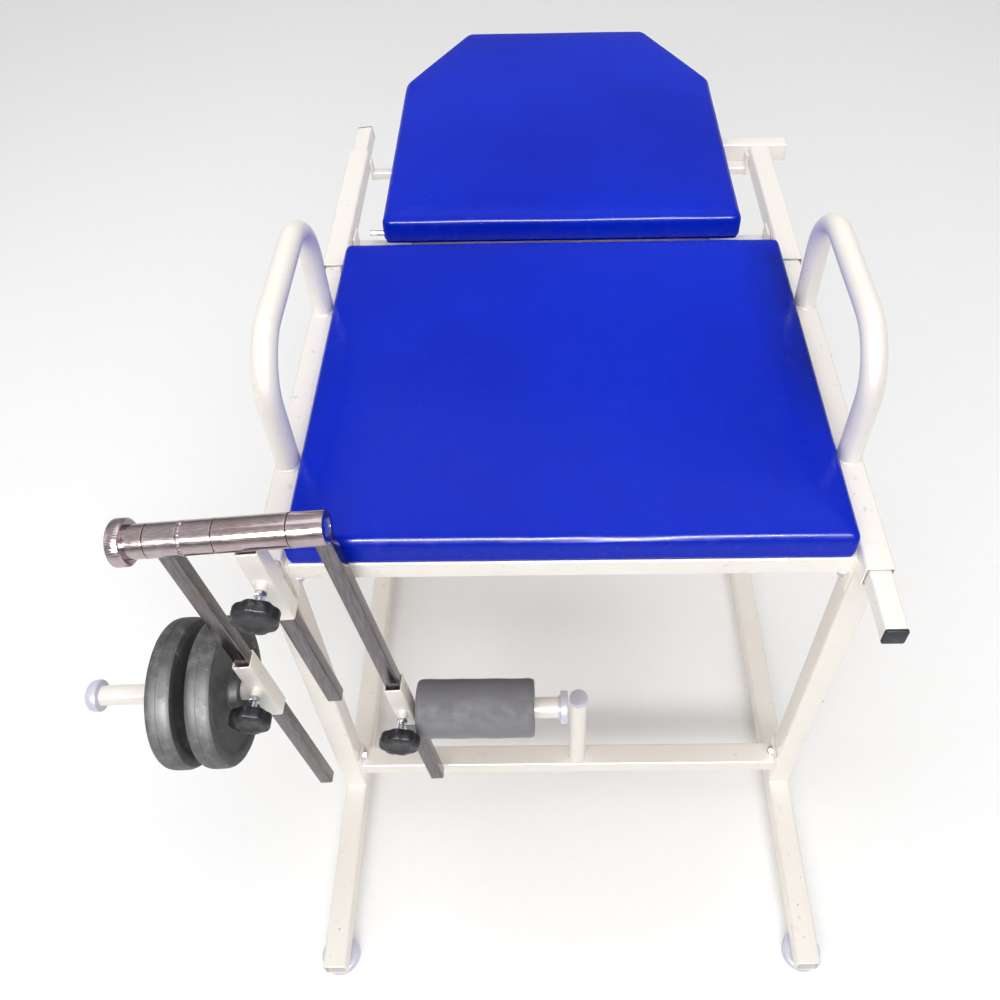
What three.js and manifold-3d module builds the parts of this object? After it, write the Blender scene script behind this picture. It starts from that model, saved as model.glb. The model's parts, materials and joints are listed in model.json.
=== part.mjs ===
// Quadriceps exercise table: a padded bench on a square-tube frame, with a counterweighted
// knee-extension unit clamped to its left front corner. Millimetres, +X right, +Y rearwards, +Z up.
// The table's own axes have x = 0 midway between the seat rails, y = 0 at the front face of the
// front uprights and z = 0 on the floor; the exported group is then shifted so that its origin
// is the middle of the bounding box's base.
import * as THREE from 'three';
import { mergeVertices } from 'three/addons/utils/BufferGeometryUtils.js';
import Module from 'manifold-3d';

const wasm = await Module();
wasm.setup();

// ---------------------------------------------------------------- driving dimensions

const GAP = 0.3; // left between solids that touch
const ROUND = 24; // sides of a round part

// Square tube stock
const TUBE = 38; // outer side of the frame tubes
const WALL = 2;
const CORNER = 3; // outer corner radius
const INNER = 29; // outer side of the telescoping tubes
const BAR_DEPTH = 33; // height of the crossbars, which lie flat

// Side frames
const RAIL_X = 390; // tube centre lines, left and right of the middle
const RAIL_TOP = 788.5;
const FRAME_LENGTH = 588; // front face of the front uprights to rear face of the rear ones
const FLOOR_REACH = 302; // floor rails beyond the uprights, at both ends
const FOOT_HEIGHT = 18;
const FOOT_RADIUS = 31;
const FOOT_INSET = 31; // foot centre to the floor rail's end
const RIGHT_RAIL_NOSE = 24; // right seat rail beyond its upright

// Crossbars and their bolted end plates
const PLATE = 5;
const LOWER_BAR_Z = 109;
const UPPER_BAR_Z = 743;
const LOWER_PLATE = { z0: 94, z1: 160 };
const UPPER_PLATE = { z0: 700, z1: 773 };
const BOLT_RADIUS = 4;
const BOLT_Z = 151;
const VENT_RADIUS = 3;
const VENT_X = -117;
const STORAGE_PEG = { x: 17, y: 17, radius: 13.5, top: 358, capRadius: 15, capHeight: 9 };

// Handles
const HANDLE = { front: 163, rear: 489, height: 211, bend: 84, radius: 17 };

// Seat
const SEAT_HALF_WIDTH = 368.5;
const SEAT_FRONT = -1;
const SEAT_REAR = 625;
const SEAT_BOTTOM = UPPER_BAR_Z + BAR_DEPTH + 0.5;
const PAD_THICKNESS = 52;
const BOARD = 12;
const BOARD_INSET = 12;

// Backrest, lying flat
const BACK_FRONT = 659;
const BACK_BOTTOM = RAIL_TOP + 1;
const BACK_WIDTH = 622;
const BACK_STRAIGHT = 482; // front edge to the start of the cut corners
const BACK_LENGTH = 698;
const BACK_END_WIDTH = 388;
const BACK_THICKNESS = 54;

// Rear carriage
const CARRIAGE_FRONT = FRAME_LENGTH + 18;
const CARRIAGE_REAR = 965;
const CARRIAGE_BAR_TOP = RAIL_TOP - TUBE - 0.5;
const REAR_BAR = 18; // outer side of the rear crossbar
const REAR_BAR_Y = CARRIAGE_REAR - REAR_BAR - 1;
const HINGE_BAR_Y = 691;
const REAR_TEE = { x0: -255, x1: 446, depth: 29 };
const CARRIAGE_PLATE_TOP = RAIL_TOP - 14;
const HINGE = { y: 720, z: 770, rod: 5, eye: 11, rodLeft: -342, rodRight: 296, earX: 270, bracketX: 250 };
const STAY = { y: 905, z: 777, length: 150, width: 30, thickness: 6, pin: 4 };

// Telescoping tubes
const LEFT_INNER_X = -389;
const INNER_Z = RAIL_TOP - TUBE / 2;
const LEFT_INNER_REAR = 1060;
const RIGHT_INNER_FRONT = -111.5;
const RIGHT_INNER_REAR = 940;
const ROLL = THREE.MathUtils.degToRad(-5.8); // the loaded tube rolls in its clearance

// Knee-extension unit, in the left inner tube's own axes: x across, y rearwards, z up,
// with z = 0 on the tube's centre line and y = 0 on the post's
const UNIT_Y = -22;
const SLEEVE = { x: 30, y: 28, z0: -69.5, z1: 80.5 };
const UNIT_X = 2; // post centre relative to the tube's
const BAR = { x: 22, y: 20, wall: 2 };
const POST_BOTTOM = -311.5;
const SHAFT_Z = 106;
const SHAFT_RADIUS = 12;
const BORE_RADIUS = 12.6;
const HUB_RADIUS = 21.8;
const NUT = { x0: -154, flange: -135.5, x1: -111, radius: 30 };
const WEIGHT_HUB = { x0: -111, x1: -69, armX: -98 }; // hub ends and the arm's middle
const CLUTCH = { x0: -69, x1: -26 };
const HOUSING = { x0: -26, x1: 65 };
const LEG_HUB = { x0: 65, x1: 110, armX: 99 };
const WEIGHT_ARM = 718;
const LEG_ARM = 724;

// Sliders on the arms: distances below the shaft's axis
const SLIDER = { x: 27, y: 29, wall: 2 };
const WEIGHT_SLIDER = { top: 290, bottom: 438, peg: 381, knob: 357 };
const LEG_SLIDER = { top: 385, bottom: 497, peg: 474, knob: 455 };
const POST_KNOB = 90;
const BOSS = { radius: 8, length: 12 };
const SCREW_RADIUS = 5;
const KNOB = { radius: 31, lobe: 3, lobes: 8, thickness: 20, reach: 37 };

// Leg roller and weight peg: distances out from the slider's side face
const ROLLER = { tilt: -5.6, peg: 16, end: 223, foam0: 3, foam1: 186, foam: 45, cap: 25, capEnd: 238 };
const PEG_START = 2; // a tilted peg's tube starts clear of the sleeve's face
const WEIGHT_PEG = { tilt: 2.2, peg: 15, end: 235, cap: 24, capEnd: 257 };
const DISC = { radius: 111.6, hub: 27, bore: 16, tread: 37, hubThickness: 56, first: 26, pitch: 57 };

// ---------------------------------------------------------------- materials

const PAINT = { color: 0xeee4d8, roughness: 0.35, metalness: 0.0 };
const VINYL = { color: 0x0028c8, roughness: 0.35, metalness: 0.0 };
const PLYWOOD = { color: 0xb08d5e, roughness: 0.7, metalness: 0.0 };
const CHROME = { color: 0xd8cfcb, roughness: 0.15, metalness: 1.0 };
const STEEL = { color: 0x6e6969, roughness: 0.4, metalness: 1.0 };
const ZINC = { color: 0xc4c6cc, roughness: 0.3, metalness: 1.0 };
const BLACK = { color: 0x15151a, roughness: 0.45, metalness: 0.0 };
const WHITE = { color: 0xdcdcee, roughness: 0.4, metalness: 0.0 };
const RUBBER = { color: 0x3c3c40, roughness: 0.8, metalness: 0.0 };
const FOAM = { color: 0x4b4b50, roughness: 0.95, metalness: 0.0 };

// ---------------------------------------------------------------- geometry helpers

/** A closed outline as a rectangle with rounded corners, centred on the origin. */
function roundedRectangle(width, height, radius) {
  const x = width / 2 - radius;
  const y = height / 2 - radius;
  const outline = new THREE.Shape();
  outline.absarc(x, y, radius, 0, Math.PI / 2);
  outline.absarc(-x, y, radius, Math.PI / 2, Math.PI);
  outline.absarc(-x, -y, radius, Math.PI, 1.5 * Math.PI);
  outline.absarc(x, -y, radius, 1.5 * Math.PI, 2 * Math.PI);
  outline.closePath();
  return outline;
}

function rectangle(width, height) {
  const x = width / 2;
  const y = height / 2;
  const corners = [[-x, -y], [-x, y], [x, y], [x, -y]];
  const outline = new THREE.Shape(corners.map((corner) => new THREE.Vector2(...corner)));
  outline.closePath();
  return outline;
}

/** Turns a geometry built along +Z from the origin so that it runs along the named axis. */
function along(axis, geometry) {
  if (axis === 'x') return geometry.rotateZ(Math.PI / 2).rotateY(Math.PI / 2);
  if (axis === 'y') return geometry.rotateX(-Math.PI / 2);
  return geometry;
}

/** Rectangular tube, open at both ends, from its middle at the origin's end along an axis. */
function rectangularTube(axis, width, height, length, wall = WALL, corner = CORNER) {
  const outline = roundedRectangle(width, height, corner);
  outline.holes.push(rectangle(width - 2 * wall, height - 2 * wall));
  const shape = new THREE.ExtrudeGeometry(outline, { depth: length, bevelEnabled: false, curveSegments: 1 });
  return along(axis, shape);
}

/** Solid bar with rounded long edges. */
function roundedBar(axis, width, height, length, corner = 1) {
  const outline = roundedRectangle(width, height, corner);
  const shape = new THREE.ExtrudeGeometry(outline, { depth: length, bevelEnabled: false, curveSegments: 1 });
  return along(axis, shape);
}

/** Block between two corners. */
function block(low, high) {
  const size = high.map((value, i) => value - low[i]);
  const centre = high.map((value, i) => (value + low[i]) / 2);
  return new THREE.BoxGeometry(...size).translate(...centre);
}

/** Turned part: [radius, height] points about the axis, starting at the origin's end. */
function turned(axis, points, sides = ROUND) {
  const profile = points.map(([radius, height]) => new THREE.Vector2(radius, height));
  const shape = new THREE.LatheGeometry(profile, sides).rotateX(Math.PI / 2);
  return along(axis, shape);
}

/** Solid cylinder from a to b along the axis. */
function rod(axis, radius, a, b, sides = ROUND) {
  return turned(axis, [[0, a], [radius, a], [radius, b], [0, b]], sides);
}

/** Round tube from a to b along the axis. */
function pipe(axis, radius, bore, a, b, sides = ROUND) {
  return turned(axis, [[bore, a], [radius, a], [radius, b], [bore, b], [bore, a]], sides);
}

/** A rod with a small bevel at its far end. */
function cappedRod(axis, radius, a, b, edge, sides = ROUND) {
  const points = [[0, a], [radius, a]];
  points.push([radius, b - edge], [radius - edge, b], [0, b]);
  return turned(axis, points, sides);
}

function toSolid(geometry) {
  const bare = geometry.clone();
  bare.deleteAttribute('normal');
  bare.deleteAttribute('uv');
  const merged = mergeVertices(bare, 1e-4);
  const vertProperties = new Float32Array(merged.attributes.position.array);
  const triVerts = new Uint32Array(merged.index.array);
  return new wasm.Manifold(new wasm.Mesh({ numProp: 3, vertProperties, triVerts }));
}

function toGeometry(solid) {
  const mesh = solid.getMesh();
  const geometry = new THREE.BufferGeometry();
  geometry.setAttribute('position', new THREE.BufferAttribute(new Float32Array(mesh.vertProperties), 3));
  geometry.setIndex(new THREE.BufferAttribute(new Uint32Array(mesh.triVerts), 1));
  geometry.computeVertexNormals();
  return geometry;
}

function union(...geometries) {
  const solids = geometries.map(toSolid);
  return toGeometry(solids.slice(1).reduce((whole, solid) => whole.add(solid), solids[0]));
}

function cut(geometry, ...tools) {
  return toGeometry(tools.map(toSolid).reduce((rest, tool) => rest.subtract(tool), toSolid(geometry)));
}

function piece(name, geometry, finish) {
  const mesh = new THREE.Mesh(geometry, new THREE.MeshStandardMaterial(finish));
  mesh.name = name;
  return mesh;
}

const SIDES = [
  { side: 'left', sign: -1 },
  { side: 'right', sign: 1 },
];

// ---------------------------------------------------------------- side frames

function floorRail({ side, sign }) {
  const length = FRAME_LENGTH + 2 * FLOOR_REACH;
  const geometry = rectangularTube('y', TUBE, TUBE, length);
  geometry.translate(sign * RAIL_X, -FLOOR_REACH, FOOT_HEIGHT + GAP + TUBE / 2);
  return piece(`${side}_floor_rail`, geometry, PAINT);
}

function floorPads({ side, sign }) {
  const ends = { front: -FLOOR_REACH + FOOT_INSET, rear: FRAME_LENGTH + FLOOR_REACH - FOOT_INSET };
  return Object.entries(ends).map(([end, y]) => {
    const pad = cappedRod('z', FOOT_RADIUS, 0, FOOT_HEIGHT, 4).translate(sign * RAIL_X, y, 0);
    return piece(`${side}_${end}_floor_pad`, pad, WHITE);
  });
}

function upright({ side, sign }, end, y) {
  const bottom = FOOT_HEIGHT + TUBE + 2 * GAP;
  const geometry = rectangularTube('z', TUBE, TUBE, RAIL_TOP - TUBE - GAP - bottom);
  geometry.translate(sign * RAIL_X, y + TUBE / 2, bottom);
  return piece(`${side}_${end}_upright`, geometry, PAINT);
}

function seatRail({ side, sign }) {
  const front = sign > 0 ? -RIGHT_RAIL_NOSE : 0;
  const geometry = rectangularTube('y', TUBE, TUBE, FRAME_LENGTH - front);
  geometry.translate(sign * RAIL_X, front, RAIL_TOP - TUBE / 2);
  return piece(`${side}_seat_rail`, geometry, PAINT);
}

/** Inverted U of round tube whose legs stand on the seat rail. */
function handle({ side, sign }) {
  const { front, rear, height, bend, radius } = HANDLE;
  const base = RAIL_TOP + GAP;
  const top = RAIL_TOP + height - radius;
  const x = sign * (RAIL_X - 1);
  const at = (y, z) => new THREE.Vector3(x, y, z);
  const path = new THREE.CurvePath();
  path.add(new THREE.LineCurve3(at(front, base), at(front, top - bend)));
  path.add(new Quarter(at(front + bend, top - bend), bend, Math.PI));
  path.add(new THREE.LineCurve3(at(front + bend, top), at(rear - bend, top)));
  path.add(new Quarter(at(rear - bend, top - bend), bend, Math.PI / 2));
  path.add(new THREE.LineCurve3(at(rear, top - bend), at(rear, base)));
  const section = new THREE.Shape();
  section.absarc(0, 0, radius, 0, 2 * Math.PI);
  const geometry = new THREE.ExtrudeGeometry(section, { steps: 30, extrudePath: path, curveSegments: 6 });
  return piece(`${side}_handle`, geometry, PAINT);
}

/** Quarter turn in the YZ plane, from the given angle clockwise, seen from +X. */
class Quarter extends THREE.Curve {
  constructor(centre, radius, startAngle) {
    super();
    this.centre = centre;
    this.radius = radius;
    this.startAngle = startAngle;
  }

  getPoint(t, target = new THREE.Vector3()) {
    const angle = this.startAngle - (t * Math.PI) / 2;
    const y = this.centre.y + this.radius * Math.cos(angle);
    const z = this.centre.z + this.radius * Math.sin(angle);
    return target.set(this.centre.x, y, z);
  }
}

// ---------------------------------------------------------------- crossbars

const BAR_END = RAIL_X - TUBE / 2 - GAP; // inner faces of the rails and uprights

/** Flat tube between two bolted end plates, in one weldment. */
function plateBar(name, y, z, plate) {
  const bar = rectangularTube('x', TUBE, BAR_DEPTH, 2 * BAR_END - PLATE);
  bar.translate(-BAR_END + PLATE / 2, y + TUBE / 2, z + BAR_DEPTH / 2);
  const plates = SIDES.map(({ sign }) => {
    const faces = [sign * BAR_END, sign * (BAR_END - PLATE)].sort((a, b) => a - b);
    return block([faces[0], y, plate.z0], [faces[1], y + TUBE, plate.z1]);
  });
  const vent = ventHole(y + TUBE / 2, z + BAR_DEPTH);
  return piece(name, cut(union(bar, ...plates), vent), PAINT);
}

/** Small hole in a closed bar's top wall. */
function ventHole(y, top) {
  return rod('z', VENT_RADIUS, top - WALL - 1, top + 1, 12).translate(VENT_X, y, 0);
}

/** Hexagon head on a washer, on the inner face of a lower front end plate. */
function crossbarBolt({ side, sign }) {
  const washer = rod('x', 2.2 * BOLT_RADIUS, 0, 1.6, 20);
  const head = rod('x', 1.6 * BOLT_RADIUS, 1, 7, 6);
  const bolt = union(washer, head);
  if (sign > 0) bolt.rotateZ(Math.PI);
  bolt.translate(sign * (BAR_END - PLATE - GAP), TUBE / 2, BOLT_Z);
  return piece(`${side}_crossbar_bolt`, bolt, ZINC);
}

function storagePeg() {
  const { x, y, radius, top } = STORAGE_PEG;
  const base = LOWER_BAR_Z + BAR_DEPTH + GAP;
  return piece('storage_peg', pipe('z', radius, radius - WALL, base, top, 24).translate(x, y, 0), PAINT);
}

function storagePegCap() {
  const { x, y, top, capRadius, capHeight } = STORAGE_PEG;
  const geometry = cappedRod('z', capRadius, top + GAP, top + capHeight, 2, 24).translate(x, y, 0);
  return piece('storage_peg_cap', geometry, WHITE);
}

// ---------------------------------------------------------------- seat

/** Upholstered pad from its outline, rounded all round, with a pocket for its board. */
function upholstery(outline, thickness, edge, bottom, board) {
  const options = { depth: thickness - 2 * edge, bevelThickness: edge, bevelSize: edge, bevelOffset: -edge };
  const pad = new THREE.ExtrudeGeometry(outline, { ...options, bevelSegments: 2, curveSegments: 2 });
  pad.translate(0, 0, bottom + edge);
  const pocket = new THREE.ExtrudeGeometry(board, { depth: BOARD + 2 * GAP, bevelEnabled: false });
  pocket.translate(0, 0, bottom - GAP);
  return cut(pad, pocket);
}

function boardFrom(outline, bottom) {
  const board = new THREE.ExtrudeGeometry(outline, { depth: BOARD - GAP, bevelEnabled: false, curveSegments: 2 });
  return board.translate(0, 0, bottom);
}

function seatOutline(inset, corner) {
  const length = SEAT_REAR - SEAT_FRONT - 2 * inset;
  const outline = roundedRectangle(2 * (SEAT_HALF_WIDTH - inset), length, corner);
  const middle = (SEAT_FRONT + SEAT_REAR) / 2;
  const points = outline.getPoints(2).map((point) => point.add(new THREE.Vector2(0, middle)));
  return new THREE.Shape(points);
}

function seat() {
  const pocket = seatOutline(BOARD_INSET - GAP, 6);
  const pad = upholstery(seatOutline(0, 14), PAD_THICKNESS, 8, SEAT_BOTTOM, pocket);
  return [
    piece('seat_pad', pad, VINYL),
    piece('seat_board', boardFrom(seatOutline(BOARD_INSET, 6), SEAT_BOTTOM), PLYWOOD),
  ];
}

// ---------------------------------------------------------------- backrest

/** Rectangle with its two rear corners cut off. */
function backOutline(inset) {
  const half = BACK_WIDTH / 2 - inset;
  const endHalf = BACK_END_WIDTH / 2 - inset * 0.6;
  const front = BACK_FRONT + inset;
  const bend = BACK_FRONT + BACK_STRAIGHT - inset * 0.3;
  const rear = BACK_FRONT + BACK_LENGTH - inset;
  const corners = [[-half, front], [half, front], [half, bend], [endHalf, rear], [-endHalf, rear], [-half, bend]];
  return filleted(corners.map(([x, y]) => new THREE.Vector2(x, y)), Math.max(16 - inset, 4));
}

/** Closed polygon whose corners are replaced by short curves. */
function filleted(corners, reach) {
  const outline = new THREE.Shape();
  corners.forEach((corner, i) => {
    const before = corners[(i + corners.length - 1) % corners.length];
    const after = corners[(i + 1) % corners.length];
    const enter = before.clone().sub(corner).setLength(reach).add(corner);
    const leave = after.clone().sub(corner).setLength(reach).add(corner);
    if (i === 0) outline.moveTo(enter.x, enter.y);
    else outline.lineTo(enter.x, enter.y);
    outline.quadraticCurveTo(corner.x, corner.y, leave.x, leave.y);
  });
  outline.closePath();
  return outline;
}

/** Angle bracket under the board, with an eye around the hinge rod. */
function backrestBracket({ side, sign }) {
  const top = BACK_BOTTOM - GAP;
  const x = sign * HINGE.bracketX;
  const flange = block([x - 15, HINGE.y - 20, top - 3], [x + 15, HINGE.y + 40, top]);
  const web = block([x - 2, HINGE.y - 12, HINGE.z], [x + 2, HINGE.y + 12, top - 1]);
  return piece(`${side}_backrest_bracket`, cut(union(flange, web, hingeEye(x, 2)), hingeBore(x)), STEEL);
}

function hingeEye(x, half) {
  return rod('x', HINGE.eye, x - half, x + half, 24).translate(0, HINGE.y, HINGE.z);
}

function hingeBore(x) {
  return rod('x', HINGE.rod + 0.5, x - 5, x + 5, 24).translate(0, HINGE.y, HINGE.z);
}

/** Clevis under the board that carries the prop. */
function stayClevis() {
  const top = BACK_BOTTOM - GAP;
  const cheeks = [-1, 1].map((sign) => {
    const x = sign * (STAY.width / 2 + 3);
    return block([x - 1.5, STAY.y - 12, STAY.z - 8], [x + 1.5, STAY.y + 12, top - 1]);
  });
  const flange = block([-STAY.width / 2 - 4.5, STAY.y - 16, top - 3], [STAY.width / 2 + 4.5, STAY.y + 16, top]);
  const pin = rod('x', STAY.pin, -STAY.width / 2 - 6, STAY.width / 2 + 6, 16).translate(0, STAY.y, STAY.z);
  return piece('stay_clevis', union(flange, ...cheeks, pin), STEEL);
}

/** Flat prop folded up under the board, with a bored knuckle at its pivot. */
function backrestStay() {
  const half = STAY.width / 2;
  const rise = STAY.thickness / 2;
  const strap = block([-half, STAY.y - STAY.length, STAY.z - rise], [half, STAY.y, STAY.z + rise]);
  const knuckle = rod('x', 7, -half, half, 20).translate(0, STAY.y, STAY.z);
  const bore = rod('x', STAY.pin + 0.5, -half - 1, half + 1, 16).translate(0, STAY.y, STAY.z);
  return piece('backrest_stay', cut(union(strap, knuckle), bore), STEEL);
}

function backrest() {
  const pad = upholstery(backOutline(0), BACK_THICKNESS, 9, BACK_BOTTOM, backOutline(BOARD_INSET - GAP));
  return [
    piece('backrest_pad', pad, VINYL),
    piece('backrest_board', boardFrom(backOutline(BOARD_INSET), BACK_BOTTOM), PLYWOOD),
    ...SIDES.map(backrestBracket),
    stayClevis(),
    backrestStay(),
  ];
}

// ---------------------------------------------------------------- rear carriage

function carriageRail({ side, sign }) {
  const geometry = rectangularTube('y', TUBE, TUBE, CARRIAGE_REAR - CARRIAGE_FRONT - GAP);
  geometry.translate(sign * RAIL_X, CARRIAGE_FRONT, RAIL_TOP - TUBE / 2);
  return piece(`${side}_carriage_rail`, geometry, PAINT);
}

/** Square tube below the carriage rails' level, with plates up to their inner faces. */
function carriageBar(y, size) {
  const bar = rectangularTube('x', size, size, 2 * BAR_END - PLATE);
  bar.translate(-BAR_END + PLATE / 2, y + size / 2, CARRIAGE_BAR_TOP - size / 2);
  const plates = SIDES.map(({ sign }) => {
    const faces = [sign * BAR_END, sign * (BAR_END - PLATE)].sort((a, b) => a - b);
    const bottom = CARRIAGE_BAR_TOP - size;
    return block([faces[0], y, bottom], [faces[1], y + size, CARRIAGE_PLATE_TOP]);
  });
  return cut(union(bar, ...plates), ventHole(y + size / 2, CARRIAGE_BAR_TOP));
}

/** Front carriage bar with the two welded ears that hold the hinge rod. */
function hingeCrossbar() {
  const ears = SIDES.map(({ sign }) => {
    const x = sign * HINGE.earX;
    const web = block([x - 2.5, HINGE.y - HINGE.eye, CARRIAGE_BAR_TOP - 1], [x + 2.5, HINGE.y + 8, HINGE.z]);
    return union(web, hingeEye(x, 2.5));
  });
  const bores = SIDES.map(({ sign }) => hingeBore(sign * HINGE.earX));
  return piece('hinge_crossbar', cut(union(carriageBar(HINGE_BAR_Y, TUBE), ...ears), ...bores), PAINT);
}

/** Cross tube on the right rail's end, open at the left and closed by a welded lid at the right. */
function rearTeeBar() {
  const { x0, x1, depth } = REAR_TEE;
  const tube = rectangularTube('x', depth, TUBE, x1 - x0 - WALL).translate(x0, 0, 0);
  const lid = roundedBar('x', depth, TUBE, WALL + 1, CORNER).translate(x1 - WALL - 1, 0, 0);
  const geometry = union(tube, lid).translate(0, CARRIAGE_REAR + depth / 2, RAIL_TOP - TUBE / 2);
  return piece('rear_tee_bar', geometry, PAINT);
}

function rearCarriage() {
  const rodLength = rod('x', HINGE.rod, HINGE.rodLeft, HINGE.rodRight, 20);
  return [
    ...SIDES.map(carriageRail),
    hingeCrossbar(),
    piece('rear_crossbar', carriageBar(REAR_BAR_Y, REAR_BAR), PAINT),
    rearTeeBar(),
    piece('hinge_rod', rodLength.translate(0, HINGE.y, HINGE.z), ZINC),
  ];
}

// ---------------------------------------------------------------- telescoping tubes

/** Plastic insert: a lid over the tube's end, made from z = 0 outwards along the axis. */
function endLid(length) {
  return roundedBar('y', INNER, INNER, length, 2.5);
}

function rightInnerTube() {
  const lid = 4;
  const tube = rectangularTube('y', INNER, INNER, RIGHT_INNER_REAR - RIGHT_INNER_FRONT - lid, WALL, 2.5);
  tube.translate(RAIL_X, RIGHT_INNER_FRONT + lid, INNER_Z);
  const cap = endLid(lid - GAP).translate(RAIL_X, RIGHT_INNER_FRONT, INNER_Z);
  return [piece('right_inner_tube', tube, PAINT), piece('right_inner_tube_cap', cap, BLACK)];
}

// ---------------------------------------------------------------- knee-extension unit

/** Sleeve around a bar: rectangular tube with a screw boss on its front face. */
function clampSleeve(x, y, width, depth, z0, z1, knobZ) {
  const sleeve = rectangularTube('z', width, depth, z1 - z0, WALL, 2.5).translate(x, y, z0);
  const face = y - depth / 2;
  const boss = rod('y', BOSS.radius, face - BOSS.length, face + WALL / 2, 20).translate(x, 0, knobZ);
  const bore = rod('y', SCREW_RADIUS + 0.5, face - BOSS.length - 1, face + WALL + 1, 16).translate(x, 0, knobZ);
  return cut(union(sleeve, boss), bore);
}

/** Lobed hand knob moulded on its clamp screw, in front of a sleeve's face. */
function handScrew(prefix, x, face, barFace, z) {
  const outline = new THREE.Shape();
  const steps = KNOB.lobes * 4;
  for (let i = 0; i < steps; i += 1) {
    const angle = (i / steps) * 2 * Math.PI;
    const radius = KNOB.radius - KNOB.lobe * (1 - Math.cos(KNOB.lobes * angle));
    const point = [radius * Math.cos(angle), radius * Math.sin(angle)];
    if (i === 0) outline.moveTo(...point);
    else outline.lineTo(...point);
  }
  outline.closePath();
  const edge = 4;
  const options = { depth: KNOB.thickness - 2 * edge, bevelThickness: edge, bevelSize: edge, bevelOffset: -edge };
  const body = along('y', new THREE.ExtrudeGeometry(outline, { ...options, bevelSegments: 1 }));
  const knobBack = face - KNOB.reach;
  body.translate(x, knobBack - KNOB.thickness + edge, z);
  const screw = rod('y', SCREW_RADIUS, knobBack - edge, barFace - 0.5, 16).translate(x, 0, z);
  return piece(`${prefix}_hand_screw`, union(body, screw), BLACK);
}

/** Bar hanging from a hub on the shaft, in one weldment. */
function arm(name, hub, length) {
  const bar = rectangularTube('z', BAR.x, BAR.y, length, BAR.wall, 1.5);
  bar.translate(hub.armX, 0, SHAFT_Z - length);
  const inside = rod('x', HUB_RADIUS - 1, hub.x0 - 1, hub.x1 + 1).translate(0, 0, SHAFT_Z);
  return piece(name, union(hubPipe(hub.x0, hub.x1), cut(bar, inside)), STEEL);
}

function hubPipe(x0, x1) {
  return pipe('x', HUB_RADIUS, BORE_RADIUS, x0 + GAP, x1 - GAP).translate(0, 0, SHAFT_Z);
}

/** Hub that turns with the shaft; the weight arm's hub is clamped against its face. */
function clutchHub() {
  return piece('clutch_hub', hubPipe(CLUTCH.x0, CLUTCH.x1), CHROME);
}

function lockNut() {
  const knurl = pipe('x', NUT.radius, BORE_RADIUS, NUT.x0, NUT.flange);
  const collar = pipe('x', HUB_RADIUS, BORE_RADIUS, NUT.flange - 1, NUT.x1 - GAP);
  return piece('lock_nut', union(knurl, collar).translate(0, 0, SHAFT_Z), CHROME);
}

function shaft() {
  const geometry = rod('x', SHAFT_RADIUS, NUT.x0 + 4, LEG_HUB.x1 - 1, 24).translate(0, 0, SHAFT_Z);
  return piece('shaft', geometry, ZINC);
}

/** Post under the bearing housing. */
function post() {
  const top = SHAFT_Z - 4;
  const bar = rectangularTube('z', BAR.x, BAR.y, top - POST_BOTTOM, BAR.wall, 1.5);
  bar.translate(UNIT_X, 0, POST_BOTTOM);
  const saddle = rod('x', HUB_RADIUS + GAP, HOUSING.x0, HOUSING.x1).translate(0, 0, SHAFT_Z);
  return piece('post', cut(bar, saddle), STEEL);
}

/** Sleeve that clamps on an arm, with its welded side peg and the parts on the peg. */
function armSlider(name, x, side, spec) {
  const z0 = SHAFT_Z - spec.bottom;
  const z1 = SHAFT_Z - spec.top;
  const y = (BAR.y - SLIDER.y) / 2 + SLIDER.wall + 0.5;
  const sleeve = clampSleeve(x, y, SLIDER.x, SLIDER.y, z0, z1, SHAFT_Z - spec.knob);
  const face = x + side * (SLIDER.x / 2);
  const pivot = new THREE.Group();
  pivot.position.set(face + side * GAP, y, SHAFT_Z - spec.peg);
  return { x, y, sleeve: piece(name, sleeve, PAINT), pivot };
}

function legRoller(pivot) {
  pivot.rotation.y = THREE.MathUtils.degToRad(-ROLLER.tilt);
  const spindle = pipe('x', ROLLER.peg, ROLLER.peg - WALL, PEG_START, ROLLER.end, 24);
  const foam = bevelledRing(ROLLER.foam, ROLLER.peg + 0.6, ROLLER.foam0 + 2, ROLLER.foam1, 6);
  const flange = ROLLER.capEnd - 12;
  const cap = turned('x', [[0, ROLLER.end + GAP], [ROLLER.peg + 2, ROLLER.end + GAP], [ROLLER.peg + 2, flange],
    [ROLLER.cap, flange], [ROLLER.cap, ROLLER.capEnd - 2], [ROLLER.cap - 2, ROLLER.capEnd], [0, ROLLER.capEnd]]);
  pivot.add(
    piece('roller_spindle', spindle, PAINT),
    piece('foam_roller', foam, FOAM),
    piece('roller_cap', cap, WHITE),
  );
}

/** Ring with bevelled outer edges, from a to b along +X. */
function bevelledRing(radius, bore, a, b, edge) {
  const near = [[bore, a], [radius - edge, a], [radius, a + edge]];
  const far = [[radius, b - edge], [radius - edge, b], [bore, b]];
  return turned('x', [...near, ...far, near[0]]);
}

/** Weight disc: tread, raised rim, dished web and hub, symmetrical about its middle plane. */
function discGeometry(middle) {
  const { radius, hub, bore, tread, hubThickness } = DISC;
  const half = tread / 2;
  const web = half - 6;
  const side = [
    [bore, hubThickness / 2 - GAP],
    [hub, hubThickness / 2 - GAP],
    [hub + 2, web],
    [radius - 24, web],
    [radius - 20, half],
    [radius - 7, half],
    [radius, half - 9],
  ];
  const other = side.map(([r, h]) => [r, -h]);
  const profile = [...other, ...side.reverse(), other[0]];
  return turned('x', profile, 32).translate(middle, 0, 0);
}

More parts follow.
